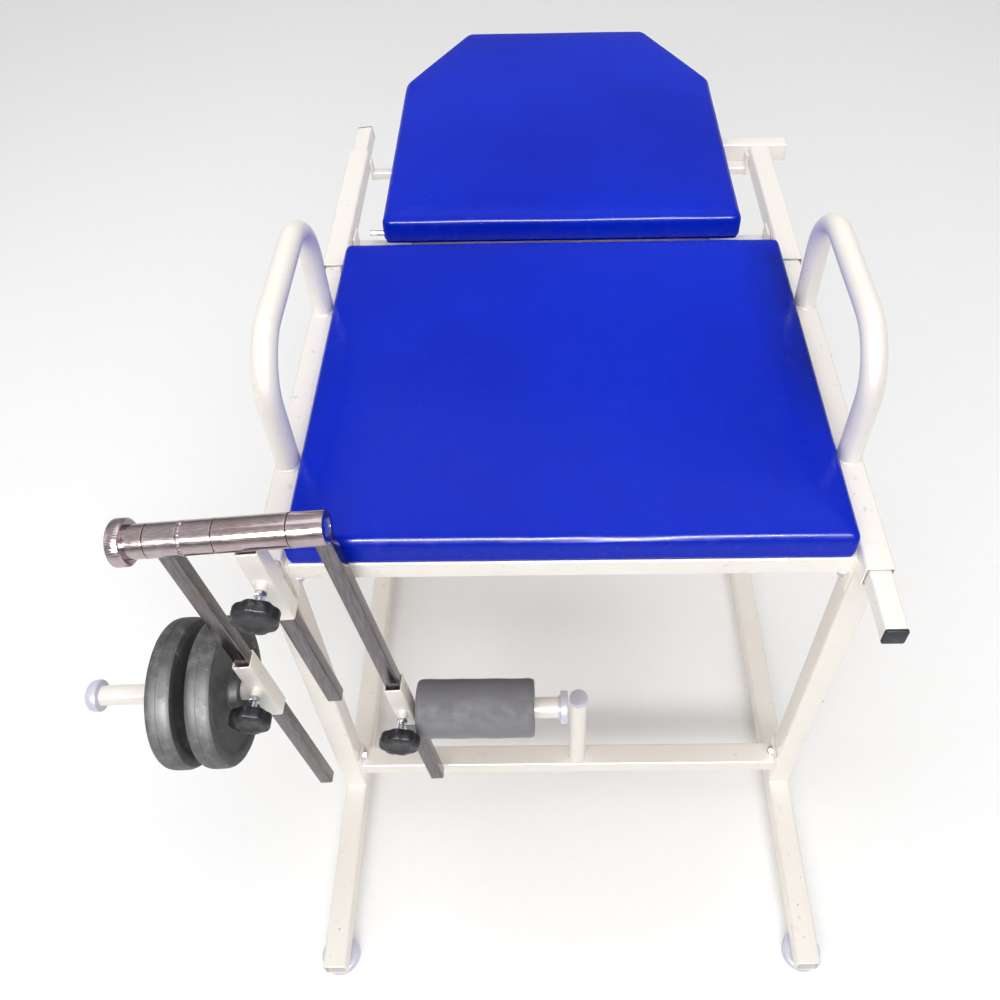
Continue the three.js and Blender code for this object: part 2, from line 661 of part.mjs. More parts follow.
function weightPegParts(pivot) {
  pivot.rotation.y = THREE.MathUtils.degToRad(WEIGHT_PEG.tilt);
  const peg = pipe('x', WEIGHT_PEG.peg, WEIGHT_PEG.peg - WALL, -WEIGHT_PEG.end, -PEG_START, 24);
  const dome = [[0, -WEIGHT_PEG.capEnd]];
  for (let i = 1; i <= 4; i += 1) {
    const angle = (i / 4) * (Math.PI / 2);
    const rise = 10;
    dome.push([WEIGHT_PEG.cap * Math.sin(angle), -WEIGHT_PEG.capEnd + rise - rise * Math.cos(angle)]);
  }
  dome.push([WEIGHT_PEG.cap, -WEIGHT_PEG.end - GAP], [0, -WEIGHT_PEG.end - GAP]);
  const firstMiddle = -DISC.first - DISC.tread / 2;
  pivot.add(
    piece('weight_peg', peg, PAINT),
    piece('weight_peg_cap', turned('x', dome, 28), WHITE),
    piece('inner_weight_disc', discGeometry(firstMiddle), RUBBER),
    piece('outer_weight_disc', discGeometry(firstMiddle - DISC.pitch), RUBBER),
  );
}

function extensionUnit() {
  const unit = new THREE.Group();
  unit.position.set(LEFT_INNER_X, UNIT_Y, INNER_Z);
  unit.rotation.y = ROLL;

  const tubeFront = SLEEVE.y / 2 + GAP;
  const lid = 3;
  const tube = rectangularTube('y', INNER, INNER, LEFT_INNER_REAR - UNIT_Y - lid - tubeFront, WALL, 2.5);
  const cap = endLid(lid - GAP);
  unit.add(
    piece('left_inner_tube', tube.translate(0, tubeFront, 0), PAINT),
    piece('left_inner_tube_cap', cap.translate(0, LEFT_INNER_REAR - UNIT_Y - lid + GAP, 0), BLACK),
  );

  const knobZ = SHAFT_Z - POST_KNOB;
  const sleeve = clampSleeve(UNIT_X, 0, SLEEVE.x, SLEEVE.y, SLEEVE.z0, SLEEVE.z1, knobZ);
  const housing = hubPipe(HOUSING.x0, HOUSING.x1);
  unit.add(
    piece('post_sleeve', sleeve, PAINT),
    post(),
    piece('bearing_housing', housing, CHROME),
    shaft(),
    clutchHub(),
    arm('weight_arm', WEIGHT_HUB, WEIGHT_ARM),
    lockNut(),
    arm('leg_arm', LEG_HUB, LEG_ARM),
    handScrew('post', UNIT_X, -SLEEVE.y / 2, -BAR.y / 2, knobZ),
  );

  const leg = armSlider('leg_slider', LEG_HUB.armX, 1, LEG_SLIDER);
  const weight = armSlider('weight_slider', WEIGHT_HUB.armX, -1, WEIGHT_SLIDER);
  legRoller(leg.pivot);
  weightPegParts(weight.pivot);
  unit.add(leg.sleeve, leg.pivot, weight.sleeve, weight.pivot);
  for (const [prefix, slider, spec] of [['leg', leg, LEG_SLIDER], ['weight', weight, WEIGHT_SLIDER]]) {
    const face = slider.y - SLIDER.y / 2;
    unit.add(handScrew(prefix, slider.x, face, -BAR.y / 2, SHAFT_Z - spec.knob));
  }
  return unit;
}

// ---------------------------------------------------------------- assembly

const rearUpright = FRAME_LENGTH - TUBE;
const table = new THREE.Group();
for (const side of SIDES) {
  table.add(
    floorRail(side),
    ...floorPads(side),
    upright(side, 'front', 0),
    upright(side, 'rear', rearUpright),
    seatRail(side),
    handle(side),
  );
}
table.add(
  plateBar('lower_front_crossbar', 0, LOWER_BAR_Z, LOWER_PLATE),
  plateBar('upper_front_crossbar', 0, UPPER_BAR_Z, UPPER_PLATE),
  plateBar('lower_rear_crossbar', rearUpright, LOWER_BAR_Z, LOWER_PLATE),
  plateBar('upper_rear_crossbar', rearUpright, UPPER_BAR_Z, UPPER_PLATE),
  ...SIDES.map(crossbarBolt),
  storagePeg(),
  storagePegCap(),
  ...seat(),
  ...backrest(),
  ...rearCarriage(),
  ...rightInnerTube(),
  extensionUnit(),
);

// The origin is the middle of the bounding box's base.
const bounds = new THREE.Box3().setFromObject(table, true);
const centre = bounds.getCenter(new THREE.Vector3());
table.position.set(-centre.x, -centre.y, -bounds.min.z);

const object = new THREE.Group();
object.add(table);
export default object;
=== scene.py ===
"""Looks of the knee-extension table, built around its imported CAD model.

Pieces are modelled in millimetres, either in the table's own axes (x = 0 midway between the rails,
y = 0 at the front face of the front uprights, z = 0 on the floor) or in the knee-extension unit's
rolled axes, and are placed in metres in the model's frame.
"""

import json
import math

import bmesh
import bpy
from mathutils import Matrix, Vector, noise


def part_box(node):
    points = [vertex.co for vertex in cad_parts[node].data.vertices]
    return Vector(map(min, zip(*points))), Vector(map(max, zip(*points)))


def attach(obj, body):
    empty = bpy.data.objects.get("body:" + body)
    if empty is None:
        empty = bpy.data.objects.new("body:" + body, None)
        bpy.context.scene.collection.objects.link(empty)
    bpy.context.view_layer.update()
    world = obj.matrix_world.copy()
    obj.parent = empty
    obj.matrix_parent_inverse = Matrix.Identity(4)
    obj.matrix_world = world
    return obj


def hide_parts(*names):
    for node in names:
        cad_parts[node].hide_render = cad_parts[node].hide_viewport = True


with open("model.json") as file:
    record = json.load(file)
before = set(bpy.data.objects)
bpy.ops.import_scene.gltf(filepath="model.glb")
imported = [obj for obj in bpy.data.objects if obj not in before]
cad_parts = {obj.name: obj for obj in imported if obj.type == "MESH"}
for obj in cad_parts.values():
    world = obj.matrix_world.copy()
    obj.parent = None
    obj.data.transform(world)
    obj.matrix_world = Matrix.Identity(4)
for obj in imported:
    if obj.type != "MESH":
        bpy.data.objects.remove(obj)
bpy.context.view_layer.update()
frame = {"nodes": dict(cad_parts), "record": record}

# ------------------------------------------------------------------ shared sizes, millimetres

MM = 0.001
TUBE = 38
WALL = 2
TUBE_CORNER = 4
RAIL_X = 390
RAIL_TOP = 788.5
RAIL_MIDDLE = RAIL_TOP - TUBE / 2
LENGTH = 588  # front uprights' front faces to the rear uprights' rear faces
UPRIGHT_Y = (0, LENGTH - TUBE)
BAR_END = RAIL_X - TUBE / 2 - 0.3
PLATE = 5  # thickness of the crossbars' end plates
FOOT_REACH = 271  # feet's distance in front of and behind the uprights
INNER_TUBE = 29  # section of the tubes that slide in the rails
INNER_CORNER = 3
HINGE_BAR_Y = 691
HINGE = (720, 770)  # y and z of the backrest's hinge line
REAR_BAR_Y = 946
REAR_BAR = 18  # section of the carriage's rear crossbar
TEE_Y = 979.5
WELD = 1.5  # radius of a weld bead

ROLL = -5.8  # degrees that the clamped unit leans to the left
BAR = (22, 20)  # section of the post and of the two arms
BAR_CORNER = 2.2
SHAFT_Z = 106
HUB_RADIUS = 21.8
BORE = 12.6
WEIGHT_HUB = (-111, -69)  # stations along the shaft, from the unit's own origin
CLUTCH_HUB = (-69, -26)
BEARING = (-26, 65)
LEG_HUB = (65, 110)
POST_X = 2
WEIGHT_ARM_X = -98
LEG_ARM_X = 99
SLIDER = (27, 29)
KNOB = {"lobe": 1.15, "lobes": 8, "thickness": 20, "reach": 37}

# The frame's own boxes place the table's axes.
left_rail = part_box("left_seat_rail")
right_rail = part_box("right_seat_rail")
centre_x = (left_rail[0].x + right_rail[1].x) / 2
front_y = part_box("left_front_upright")[0].y
TABLE = Matrix.Translation((centre_x, front_y, 0)) @ Matrix.Scale(MM, 4)
UNIT_PLACE = Matrix.Translation((-389, -22, RAIL_MIDDLE))
UNIT = TABLE @ UNIT_PLACE @ Matrix.Rotation(math.radians(ROLL), 4, "Y")


def at(x, y, z):
    """The matrix that moves a shape to a place."""
    return Matrix.Translation((x, y, z))


def turned_to(axis):
    """Turns a shape built along +Z so that it runs along another axis."""
    return Vector((0, 0, 1)).rotation_difference(Vector(axis)).to_matrix().to_4x4()


# ------------------------------------------------------------------ materials


class Shader:
    """Short way to build one node material."""

    def __init__(self, name):
        self.material = bpy.data.materials.new(name)
        self.material.use_nodes = True
        self.tree = self.material.node_tree
        self.surface = self.tree.nodes["Principled BSDF"]
        self.place = self.node("TexCoord").outputs["Object"]

    def node(self, kind, settings=None, **values):
        made = self.tree.nodes.new("ShaderNode" + kind)
        for key, value in (settings or {}).items():
            setattr(made, key, value)
        for key, value in values.items():
            self.put(made.inputs[key.replace("_", " ")], value)
        return made

    def put(self, socket, value):
        if isinstance(value, bpy.types.NodeSocket):
            self.tree.links.new(value, socket)
        else:
            socket.default_value = value

    def noise(self, scale, detail=3.0, stretch=None, roughness=0.5):
        place = self.place
        if stretch:
            place = self.node("Mapping", Vector=place, Scale=stretch).outputs["Vector"]
        made = self.node("TexNoise", Vector=place, Scale=scale, Detail=detail, Roughness=roughness)
        return made.outputs["Fac"]

    def cells(self, scale):
        return self.node("TexVoronoi", Vector=self.place, Scale=scale).outputs["Distance"]

    def ramp(self, factor, low, high, start=0.0, end=1.0):
        made = self.node("MapRange", {"clamp": True}, Value=factor)
        for key, value in (("From Min", low), ("From Max", high), ("To Min", start), ("To Max", end)):
            made.inputs[key].default_value = value
        return made.outputs["Result"]

    def math(self, operation, a, b):
        made = self.node("Math", {"operation": operation})
        self.put(made.inputs[0], a)
        self.put(made.inputs[1], b)
        return made.outputs["Value"]

    def mix(self, factor, a, b):
        made = self.node("Mix", {"data_type": "RGBA"})
        self.put(made.inputs[0], factor)
        for index, colour in ((6, a), (7, b)):
            if not isinstance(colour, bpy.types.NodeSocket):
                colour = (*colour, 1)
            self.put(made.inputs[index], colour)
        return made.outputs[2]

    def bump(self, height, distance, strength=1.0, normal=None):
        made = self.node("Bump", Height=height, Strength=strength, Distance=distance)
        if normal is not None:
            self.put(made.inputs["Normal"], normal)
        return made.outputs["Normal"]

    def edge(self, radius):
        """Rounded shading normal, and a mask of the edges that it rounds."""
        rounded = self.node("Bevel", {"samples": 4}, Radius=radius).outputs["Normal"]
        plain = self.node("NewGeometry").outputs["Normal"]
        dot = self.node("VectorMath", {"operation": "DOT_PRODUCT"})
        self.put(dot.inputs[0], rounded)
        self.put(dot.inputs[1], plain)
        return rounded, self.ramp(dot.outputs["Value"], 0.995, 0.9)

    def done(self, colour, roughness, normal, **values):
        self.put(self.surface.inputs["Base Color"], colour)
        self.put(self.surface.inputs["Roughness"], roughness)
        self.put(self.surface.inputs["Normal"], normal)
        for key, value in values.items():
            self.surface.inputs[key.replace("_", " ")].default_value = value
        return self.material


def paint_material():
    """Semi-gloss cream powder coat: orange peel, faint dirt, chips on the edges."""
    s = Shader("cream_paint")
    normal, edges = s.edge(0.0012)
    tint = s.mix(s.noise(5), (0.88, 0.83, 0.76), (0.93, 0.89, 0.83))
    dirt = s.ramp(s.noise(23, 6, roughness=0.7), 0.60, 0.80, 0, 0.30)
    tint = s.mix(dirt, tint, (0.50, 0.42, 0.33))
    scuffs = s.ramp(s.noise(60, 2, (1, 1, 8)), 0.69, 0.74, 0, 0.5)
    tint = s.mix(scuffs, tint, (0.62, 0.55, 0.46))
    spots = s.ramp(s.noise(75, 2), 0.775, 0.79)
    worn = s.math("MULTIPLY", edges, s.ramp(s.noise(45, 4), 0.66, 0.70))
    chips = s.math("MAXIMUM", spots, worn)
    tint = s.mix(chips, tint, (0.11, 0.075, 0.06))
    roughness = s.ramp(s.noise(17, 4), 0.3, 0.7, 0.27, 0.40)
    peel = s.bump(s.noise(650, 1), 0.00006, 0.5, normal)
    chipped = s.bump(s.math("SUBTRACT", 1.0, chips), 0.0003, 0.6, peel)
    return s.done(tint, roughness, chipped)


def vinyl_material():
    """Royal blue upholstery vinyl with a fine grain, soft ripples and painted shade along one side."""
    s = Shader("blue_vinyl")
    tint = s.mix(s.ramp(s.noise(3.2, 4), 0.35, 0.65), (0.0002, 0.015, 0.46), (0.0004, 0.021, 0.55))
    # Painted shade: a smooth darker band along the right edge, over part of its length, broken up by
    # noise.
    shade_noise = s.ramp(s.noise(9, 4, (3, 1, 1)), 0.35, 0.65)
    x, y, z = s.node("SeparateXYZ", Vector=s.place).outputs
    side = s.ramp(x, 0.425, 0.500)
    rear = s.math("MULTIPLY", s.ramp(y, -0.36, -0.20), s.ramp(y, 0.10, 0.02))
    band = s.math("MULTIPLY", s.math("MULTIPLY", side, rear), s.ramp(shade_noise, 0, 1, 0.45, 0.9))
    tint = s.mix(band, tint, (0.001, 0.008, 0.165))
    marks = s.ramp(s.noise(140, 2), 0.80, 0.83, 0, 0.4)
    tint = s.mix(marks, tint, (0.0, 0.004, 0.10))
    roughness = s.ramp(s.noise(42, 4), 0.3, 0.7, 0.20, 0.30)
    grain = s.bump(s.cells(1100), 0.00005, 0.16)
    ripples = s.bump(s.noise(9, 2), 0.003, 0.22, grain)
    fine = s.bump(s.noise(55, 2), 0.0006, 0.15, ripples)
    return s.done(tint, roughness, fine, Specular_IOR_Level=0.10)


def plywood_material():
    """Raw plywood: grain across the face and layers along the edges."""
    s = Shader("plywood")
    layers = s.node("TexWave", {"bands_direction": "Z"}, Vector=s.place, Scale=130, Distortion=0.4)
    grain = s.noise(38, 6, (1, 9, 4))
    tint = s.mix(grain, (0.36, 0.23, 0.11), (0.60, 0.44, 0.26))
    tint = s.mix(s.math("MULTIPLY", layers.outputs["Fac"], 0.35), tint, (0.22, 0.13, 0.06))
    return s.done(tint, s.ramp(grain, 0, 1, 0.55, 0.8), s.bump(grain, 0.0004, 0.5))


def metal_material(name, light, dark, stain, roughness, stretch, scratch):
    """Plated or bare steel: streaky finish, stains and fine scratches along one direction."""
    s = Shader(name)
    normal, edges = s.edge(0.0008)
    streaks = s.noise(90, 3, stretch)
    tint = s.mix(s.ramp(streaks, 0.35, 0.65), dark, light)
    blotches = s.ramp(s.noise(14, 5, roughness=0.6), 0.50, 0.72, 0, 0.7)
    tint = s.mix(blotches, tint, stain)
    tint = s.mix(s.math("MULTIPLY", edges, 0.5), tint, light)
    low, high = roughness
    dulled = s.math("MULTIPLY", blotches, high * 1.2)
    rough = s.math("MAXIMUM", s.ramp(streaks, 0.3, 0.7, low, high), dulled)
    grooves = s.bump(s.noise(700, 2, stretch), 0.00004, scratch, normal)
    pits = s.bump(s.ramp(s.noise(260, 2), 0.66, 0.72), 0.00012, -0.5, grooves)
    return s.done(tint, rough, pits, Metallic=1.0)


def plastic_material(name, light, dark, roughness, **values):
    """Moulded plastic with a mottled tone, darker specks and a faint skin."""
    s = Shader(name)
    normal = s.edge(0.0008)[0]
    tint = s.mix(s.noise(34, 5), dark, light)
    tint = s.mix(s.ramp(s.noise(150, 4), 0.62, 0.75, 0, 0.5), tint, dark)
    low, high = roughness
    fine = s.bump(s.noise(700, 2), 0.00006, 0.3, normal)
    return s.done(tint, s.ramp(s.noise(80, 3), 0.3, 0.7, low, high), fine, **values)


def rubber_material():
    """Dusty moulded rubber with pale scuffs and a pitted skin."""
    s = Shader("disc_rubber")
    tint = s.mix(s.noise(16, 5), (0.026, 0.026, 0.028), (0.050, 0.050, 0.053))
    dust = s.ramp(s.noise(42, 8, roughness=0.75), 0.48, 0.70, 0, 0.75)
    tint = s.mix(dust, tint, (0.145, 0.140, 0.150))
    scuffs = s.ramp(s.noise(170, 3, (1, 1, 0.3)), 0.66, 0.74, 0, 0.55)
    tint = s.mix(scuffs, tint, (0.30, 0.29, 0.28))
    pits = s.bump(s.noise(420, 4), 0.00035, 0.6)
    waves = s.bump(s.noise(38, 3), 0.0010, 0.35, pits)
    return s.done(tint, s.ramp(dust, 0, 0.6, 0.58, 0.80), waves)


def foam_material():
    """Closed-cell foam: tiny cells, darker specks and shallow dents."""
    s = Shader("grey_foam")
    tint = s.mix(s.noise(26, 6), (0.088, 0.084, 0.102), (0.128, 0.122, 0.143))
    specks = s.ramp(s.noise(240, 3), 0.62, 0.72, 0, 0.6)
    tint = s.mix(specks, tint, (0.068, 0.066, 0.076))
    cells = s.bump(s.cells(950), 0.00035, 0.7)
    dents = s.bump(s.noise(34, 3), 0.0018, 0.35, cells)
    return s.done(tint, s.ramp(s.noise(60, 3), 0.3, 0.7, 0.78, 0.95), dents, Sheen_Weight=0.15)


PAINT = paint_material()
VINYL = vinyl_material()
PLYWOOD = plywood_material()
# Painted reflection: the chrome's darkened, pinkish-brown tone stands in for the darker surroundings
# that it would reflect.
CHROME = metal_material(
    "bright_chrome", light=(0.47, 0.395, 0.41), dark=(0.39, 0.318, 0.333), stain=(0.31, 0.225, 0.205),
    roughness=(0.10, 0.20), stretch=(1, 6, 6), scratch=0.10
)
STEEL = metal_material(
    "worn_steel", light=(0.185, 0.172, 0.184), dark=(0.12, 0.11, 0.118), stain=(0.15, 0.11, 0.09),
    roughness=(0.14, 0.26), stretch=(3, 3, 0.3), scratch=0.15
)
ZINC = metal_material(
    "zinc", light=(0.72, 0.74, 0.80), dark=(0.46, 0.48, 0.54), stain=(0.33, 0.33, 0.36),
    roughness=(0.22, 0.36), stretch=(1, 1, 1), scratch=0.3
)
BLACK = plastic_material(
    "black_plastic", light=(0.018, 0.018, 0.024), dark=(0.008, 0.008, 0.012), roughness=(0.30, 0.48),
    Specular_IOR_Level=0.3
)
WHITE = plastic_material(
    "white_plastic", light=(0.70, 0.70, 0.80), dark=(0.56, 0.56, 0.68), roughness=(0.30, 0.45),
    Subsurface_Weight=0.2, Subsurface_Scale=0.004
)
RUBBER = rubber_material()
FOAM = foam_material()
SLOTS = {
    "cream_paint": PAINT, "blue_vinyl": VINYL, "plywood": PLYWOOD, "bright_chrome": CHROME,
    "worn_steel": STEEL, "zinc": ZINC, "black_plastic": BLACK, "white_plastic": WHITE,
    "disc_rubber": RUBBER, "grey_foam": FOAM,
}

# ------------------------------------------------------------------ shapes

SMOOTH_ANGLE = math.radians(32)


def ring(mesh, points):
    """Adds one row of vertices."""
    return [mesh.verts.new(point) for point in points]


def skin(mesh, rings, closed=False):
    """Joins rings of equal length with quads; closed joins the last to the first too."""
    pairs = list(zip(rings, rings[1:]))
    if closed:
        pairs.append((rings[-1], rings[0]))
    for lower, upper in pairs:
        for i in range(len(lower)):
            j = (i + 1) % len(lower)
            mesh.faces.new((lower[i], lower[j], upper[j], upper[i]))


def rounded(width, depth, radius, steps=4):
    """Points of a rectangle with rounded corners, anticlockwise."""
    points = []
    for turn, (sx, sy) in enumerate(((1, 1), (-1, 1), (-1, -1), (1, -1))):
        for i in range(steps + 1):
            angle = (turn + i / steps) * math.pi / 2
            x = sx * (width / 2 - radius) + radius * math.cos(angle)
            y = sy * (depth / 2 - radius) + radius * math.sin(angle)
            points.append((x, y))
    return points


def square_tube(width, depth, length, wall=WALL, corner=TUBE_CORNER, edge=0.5):
    """Open rectangular tube along +Z from the origin, with softened ends."""
    mesh = bmesh.new()
    inner = max(corner - wall, 0.8)
    sections = [
        (rounded(width - 2 * edge, depth - 2 * edge, corner), 0),
        (rounded(width, depth, corner), edge),
        (rounded(width, depth, corner), length - edge),
        (rounded(width - 2 * edge, depth - 2 * edge, corner), length),
        (rounded(width - 2 * wall, depth - 2 * wall, inner), length),
        (rounded(width - 2 * wall, depth - 2 * wall, inner), 0),
    ]
    skin(mesh, [ring(mesh, [(x, y, z) for x, y in outline]) for outline, z in sections], closed=True)
    return mesh


def lid(width, depth, thickness, corner=TUBE_CORNER, edge=0.8):
    """Solid plate along +Z from the origin with its upper edge softened."""
    mesh = bmesh.new()
    sections = [(0, 0), (0, thickness - edge), (edge * 0.3, thickness - edge * 0.3), (edge, thickness)]
    rings = []
    for inset, z in sections:
        outline = rounded(width - 2 * inset, depth - 2 * inset, corner)
        rings.append(ring(mesh, [(x, y, z) for x, y in outline]))
    skin(mesh, rings)
    mesh.faces.new(rings[0][::-1])
    mesh.faces.new(rings[-1])
    return mesh


def lathe(profile, steps=64, closed=False):
    """Turned solid about +Z from (radius, z) points; closed joins the last point to the first."""
    mesh = bmesh.new()
    rings = []
    for radius, z in profile:
        angles = [2 * math.pi * i / steps for i in range(steps)]
        rings.append(ring(mesh, [(radius * math.cos(a), radius * math.sin(a), z) for a in angles]))
    skin(mesh, rings, closed)
    if not closed:
        mesh.faces.new(rings[0][::-1])
        mesh.faces.new(rings[-1])
    return mesh


def hollow(profile, bore, steps=64):
    """Turned ring from its outer (radius, z) points, with a plain bore."""
    low, high = profile[0][1], profile[-1][1]
    return lathe([(bore, low), *profile, (bore, high)], steps, closed=True)


def slab(low, high, edge=0.8, steps=2):
    """Box between two corners with rounded edges."""
    mesh = bmesh.new()
    size = [b - a for a, b in zip(low, high)]
    middle = [(a + b) / 2 for a, b in zip(low, high)]
    bmesh.ops.create_cube(mesh, size=1, matrix=at(*middle) @ Matrix.Diagonal((*size, 1)))
    bmesh.ops.bevel(mesh, geom=mesh.edges[:], offset=edge, segments=steps, profile=0.5, affect="EDGES")
    return mesh


def sweep(path, radius, sides=28):
    """Round solid bar along a path that lies in the YZ plane."""
    mesh = bmesh.new()
    rings = []
    across = Vector((1, 0, 0))
    for i, point in enumerate(path):
        ahead = path[min(i + 1, len(path) - 1)] - path[max(i - 1, 0)]
        up = ahead.normalized().cross(across)
        angles = [2 * math.pi * k / sides for k in range(sides)]
        offsets = [math.cos(a) * across + math.sin(a) * up for a in angles]
        rings.append(ring(mesh, [point + radius * offset for offset in offsets]))
    skin(mesh, rings)
    mesh.faces.new(rings[0][::-1])
    mesh.faces.new(rings[-1])
    return mesh


def bead(path, radius, seed):
    """Weld bead: a lumpy round bar along a polyline, pointed at its ends."""
    mesh = bmesh.new()
    sides = 8
    spacing = 2.2
    points = []
    for a, b in zip(path, path[1:]):
        count = max(int((b - a).length / spacing), 2)
        points += [a.lerp(b, i / count) for i in range(count)]
    points.append(path[-1])
    rings = []
    for i, point in enumerate(points):
        ahead = (points[min(i + 1, len(points) - 1)] - points[max(i - 1, 0)]).normalized()
        helper = Vector((0, 0, 1)) if abs(ahead.z) < 0.7 else Vector((1, 0, 0))
        u = ahead.cross(helper).normalized()
        v = ahead.cross(u)
        lump = 1 + 0.22 * math.sin(i * 1.9) + 0.25 * noise.noise(Vector((i * 0.7, seed, 0)))
        size = radius * lump * min(1, 0.35 + min(i, len(points) - 1 - i) * 0.4)
        angles = [2 * math.pi * k / sides for k in range(sides)]
        rings.append(ring(mesh, [point + size * (math.cos(t) * u + math.sin(t) * v) for t in angles]))
    skin(mesh, rings)
    mesh.faces.new(rings[0][::-1])
    mesh.faces.new(rings[-1])
    return mesh


def join(*meshes):
    """Puts several closed meshes into one."""
    whole = meshes[0]
    for other in meshes[1:]:
        copy = bpy.data.meshes.new("part")
        other.to_mesh(copy)
        whole.from_mesh(copy)
        bpy.data.meshes.remove(copy)
        other.free()
    return whole


def moved(mesh, matrix):
    """Transforms a mesh and hands it back."""
    mesh.transform(matrix)
    return mesh


def piece(name, mesh, place, body, slot, *nodes):
    """Finishes a mesh as a visible piece that rides on a body and stands for CAD nodes."""
    mesh.transform(place)
    bmesh.ops.recalc_face_normals(mesh, faces=mesh.faces[:])
    for face in mesh.faces:
        face.smooth = True
    for side in mesh.edges:
        side.smooth = side.calc_face_angle(0) < SMOOTH_ANGLE
    data = bpy.data.meshes.new(name)
    mesh.to_mesh(data)
    mesh.free()
    made = bpy.data.objects.new(name, data)
    bpy.context.scene.collection.objects.link(made)
    data.materials.append(SLOTS[slot])
    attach(made, body)
    if nodes:
        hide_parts(*nodes)


def frame_tube(node, axis, body):
    """Rounded square tube in the place of a straight CAD tube that runs along x, y or z."""
    low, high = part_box(node)
    i = "xyz".index(axis)
    length = (high - low)[i] / MM
    start = (low + high) / 2
    start[i] = low[i]
    direction = [0, 0, 0]
    direction[i] = 1
    place = Matrix.Translation(start) @ turned_to(direction) @ Matrix.Scale(MM, 4)
    tube = square_tube(TUBE, TUBE, length)
    piece(f"{node}_tube", tube, place, body, "cream_paint", node)


# ------------------------------------------------------------------ fasteners


def hex_bolt(size, head, washer):
    """Hexagon head on a washer, standing on +Z from the origin."""
    thick, soft, chamfer = 1.6, 0.4, 0.9
    outline = [(washer * 0.55, 0), (washer - soft, 0), (washer, soft), (washer, thick - soft),
               (washer - soft, thick), (washer * 0.5, thick)]
    rings = [(size, thick), (size, thick + head - chamfer), (size - chamfer, thick + head)]
    return join(lathe(outline, 40), lathe(rings, 6))


def threads(radius, length, pitch=1.5, depth=0.55):
    """Screw thread as closely spaced ridges along +Z."""
    profile = []
    for i in range(int(length / pitch)):
        z = i * pitch
        profile += [(radius - depth, z), (radius, z + pitch / 2)]
    profile.append((radius - depth, length))
    return lathe(profile, 24)


def star_knob():
    """Eight-lobed knob with its face towards -Y: rings of a lobed outline, dished in front."""
    mesh = bmesh.new()
    steps = KNOB["lobes"] * 12
    thick = KNOB["thickness"]
    sections = [  # radius, distance forward and share of the lobes' depth
        (9.5, -4.0, 0.0), (12.5, -3.4, 0.0), (14, -1.0, 0.0), (18, 0.2, 0.3),
        (27.0, 0.6, 0.9), (29.8, 1.8, 1.0), (31, 4.2, 1.0), (31, thick - 6.0, 1.0),
        (29.6, thick - 2.6, 1.0), (27.0, thick - 0.9, 1.0), (23.6, thick, 0.8),
        (17, thick + 0.1, 0.35), (14.5, thick - 1.2, 0.1), (9, thick - 1.6, 0.0),
    ]
    rings = []
    for radius, forward, lobed in sections:
        points = []
        for i in range(steps):
            angle = 2 * math.pi * i / steps
            wave = (1 - math.cos(KNOB["lobes"] * angle)) / 2
            size = radius - 2 * KNOB["lobe"] * lobed * wave ** 1.5
            points.append((size * math.cos(angle), -forward, size * math.sin(angle)))
        rings.append(ring(mesh, points))
    skin(mesh, rings)
    mesh.faces.new(rings[0])
    mesh.faces.new(rings[-1][::-1])
    return mesh


def hand_screw(prefix, body, x, face, z):
    """Star knob, its zinc screw and a locking nut, in front of a sleeve's boss."""
    back = face - KNOB["reach"]
    boss = face - 12
    inwards = turned_to((0, 1, 0))
    knob = moved(star_knob(), at(x, back, z))
    piece(f"{prefix}_knob", knob, UNIT, body, "black_plastic", f"{prefix}_hand_screw")
    screw = moved(threads(5.2, boss - back + 4), at(x, back, z) @ inwards)
    nut = lathe([(7.6, 0), (8.6, 0.9), (8.6, 5.2), (7.8, 6)], 6)
    collar = moved(nut, at(x, boss - 6.2, z) @ inwards)
    piece(f"{prefix}_screw", join(screw, collar), UNIT, body, "zinc")


# ------------------------------------------------------------------ side frames and crossbars

for side, sign in (("left", -1), ("right", 1)):
    frame_tube(f"{side}_floor_rail", "y", "frame")
    frame_tube(f"{side}_front_upright", "z", "frame")
    frame_tube(f"{side}_rear_upright", "z", "frame")
    frame_tube(f"{side}_seat_rail", "y", "frame")
    frame_tube(f"{side}_carriage_rail", "y", "rear_carriage")
    for end, y in (("front", -FOOT_REACH), ("rear", LENGTH + FOOT_REACH)):
        profile = [(27, 0), (30, 0.8), (31, 2.6), (31, 12), (30, 15.5), (27, 17.6), (21, 18), (12, 18)]
        piece(f"{side}_{end}_foot", lathe(profile, 56), TABLE @ at(sign * RAIL_X, y, 0), "frame",
              "white_plastic", f"{side}_{end}_floor_pad")

    # Weld beads where the uprights meet the rails
    half = TUBE / 2
    corners = [(-half, -half), (half, -half), (half, half), (-half, half)]
    for end, y in zip(("front", "rear"), UPRIGHT_Y):
        for level, z in (("foot", 18.6 + TUBE), ("head", RAIL_TOP - TUBE - 0.4)):
            shown, inset = (corners[:2], -0.4) if end == "front" else (corners[2:], 0.4)
            path = [Vector((sign * RAIL_X + a, y + half + b + inset, z)) for a, b in shown]
            weld = bead(path, WELD, sign * y + z)
            piece(f"{side}_{end}_{level}_weld", weld, TABLE, "frame", "cream_paint")


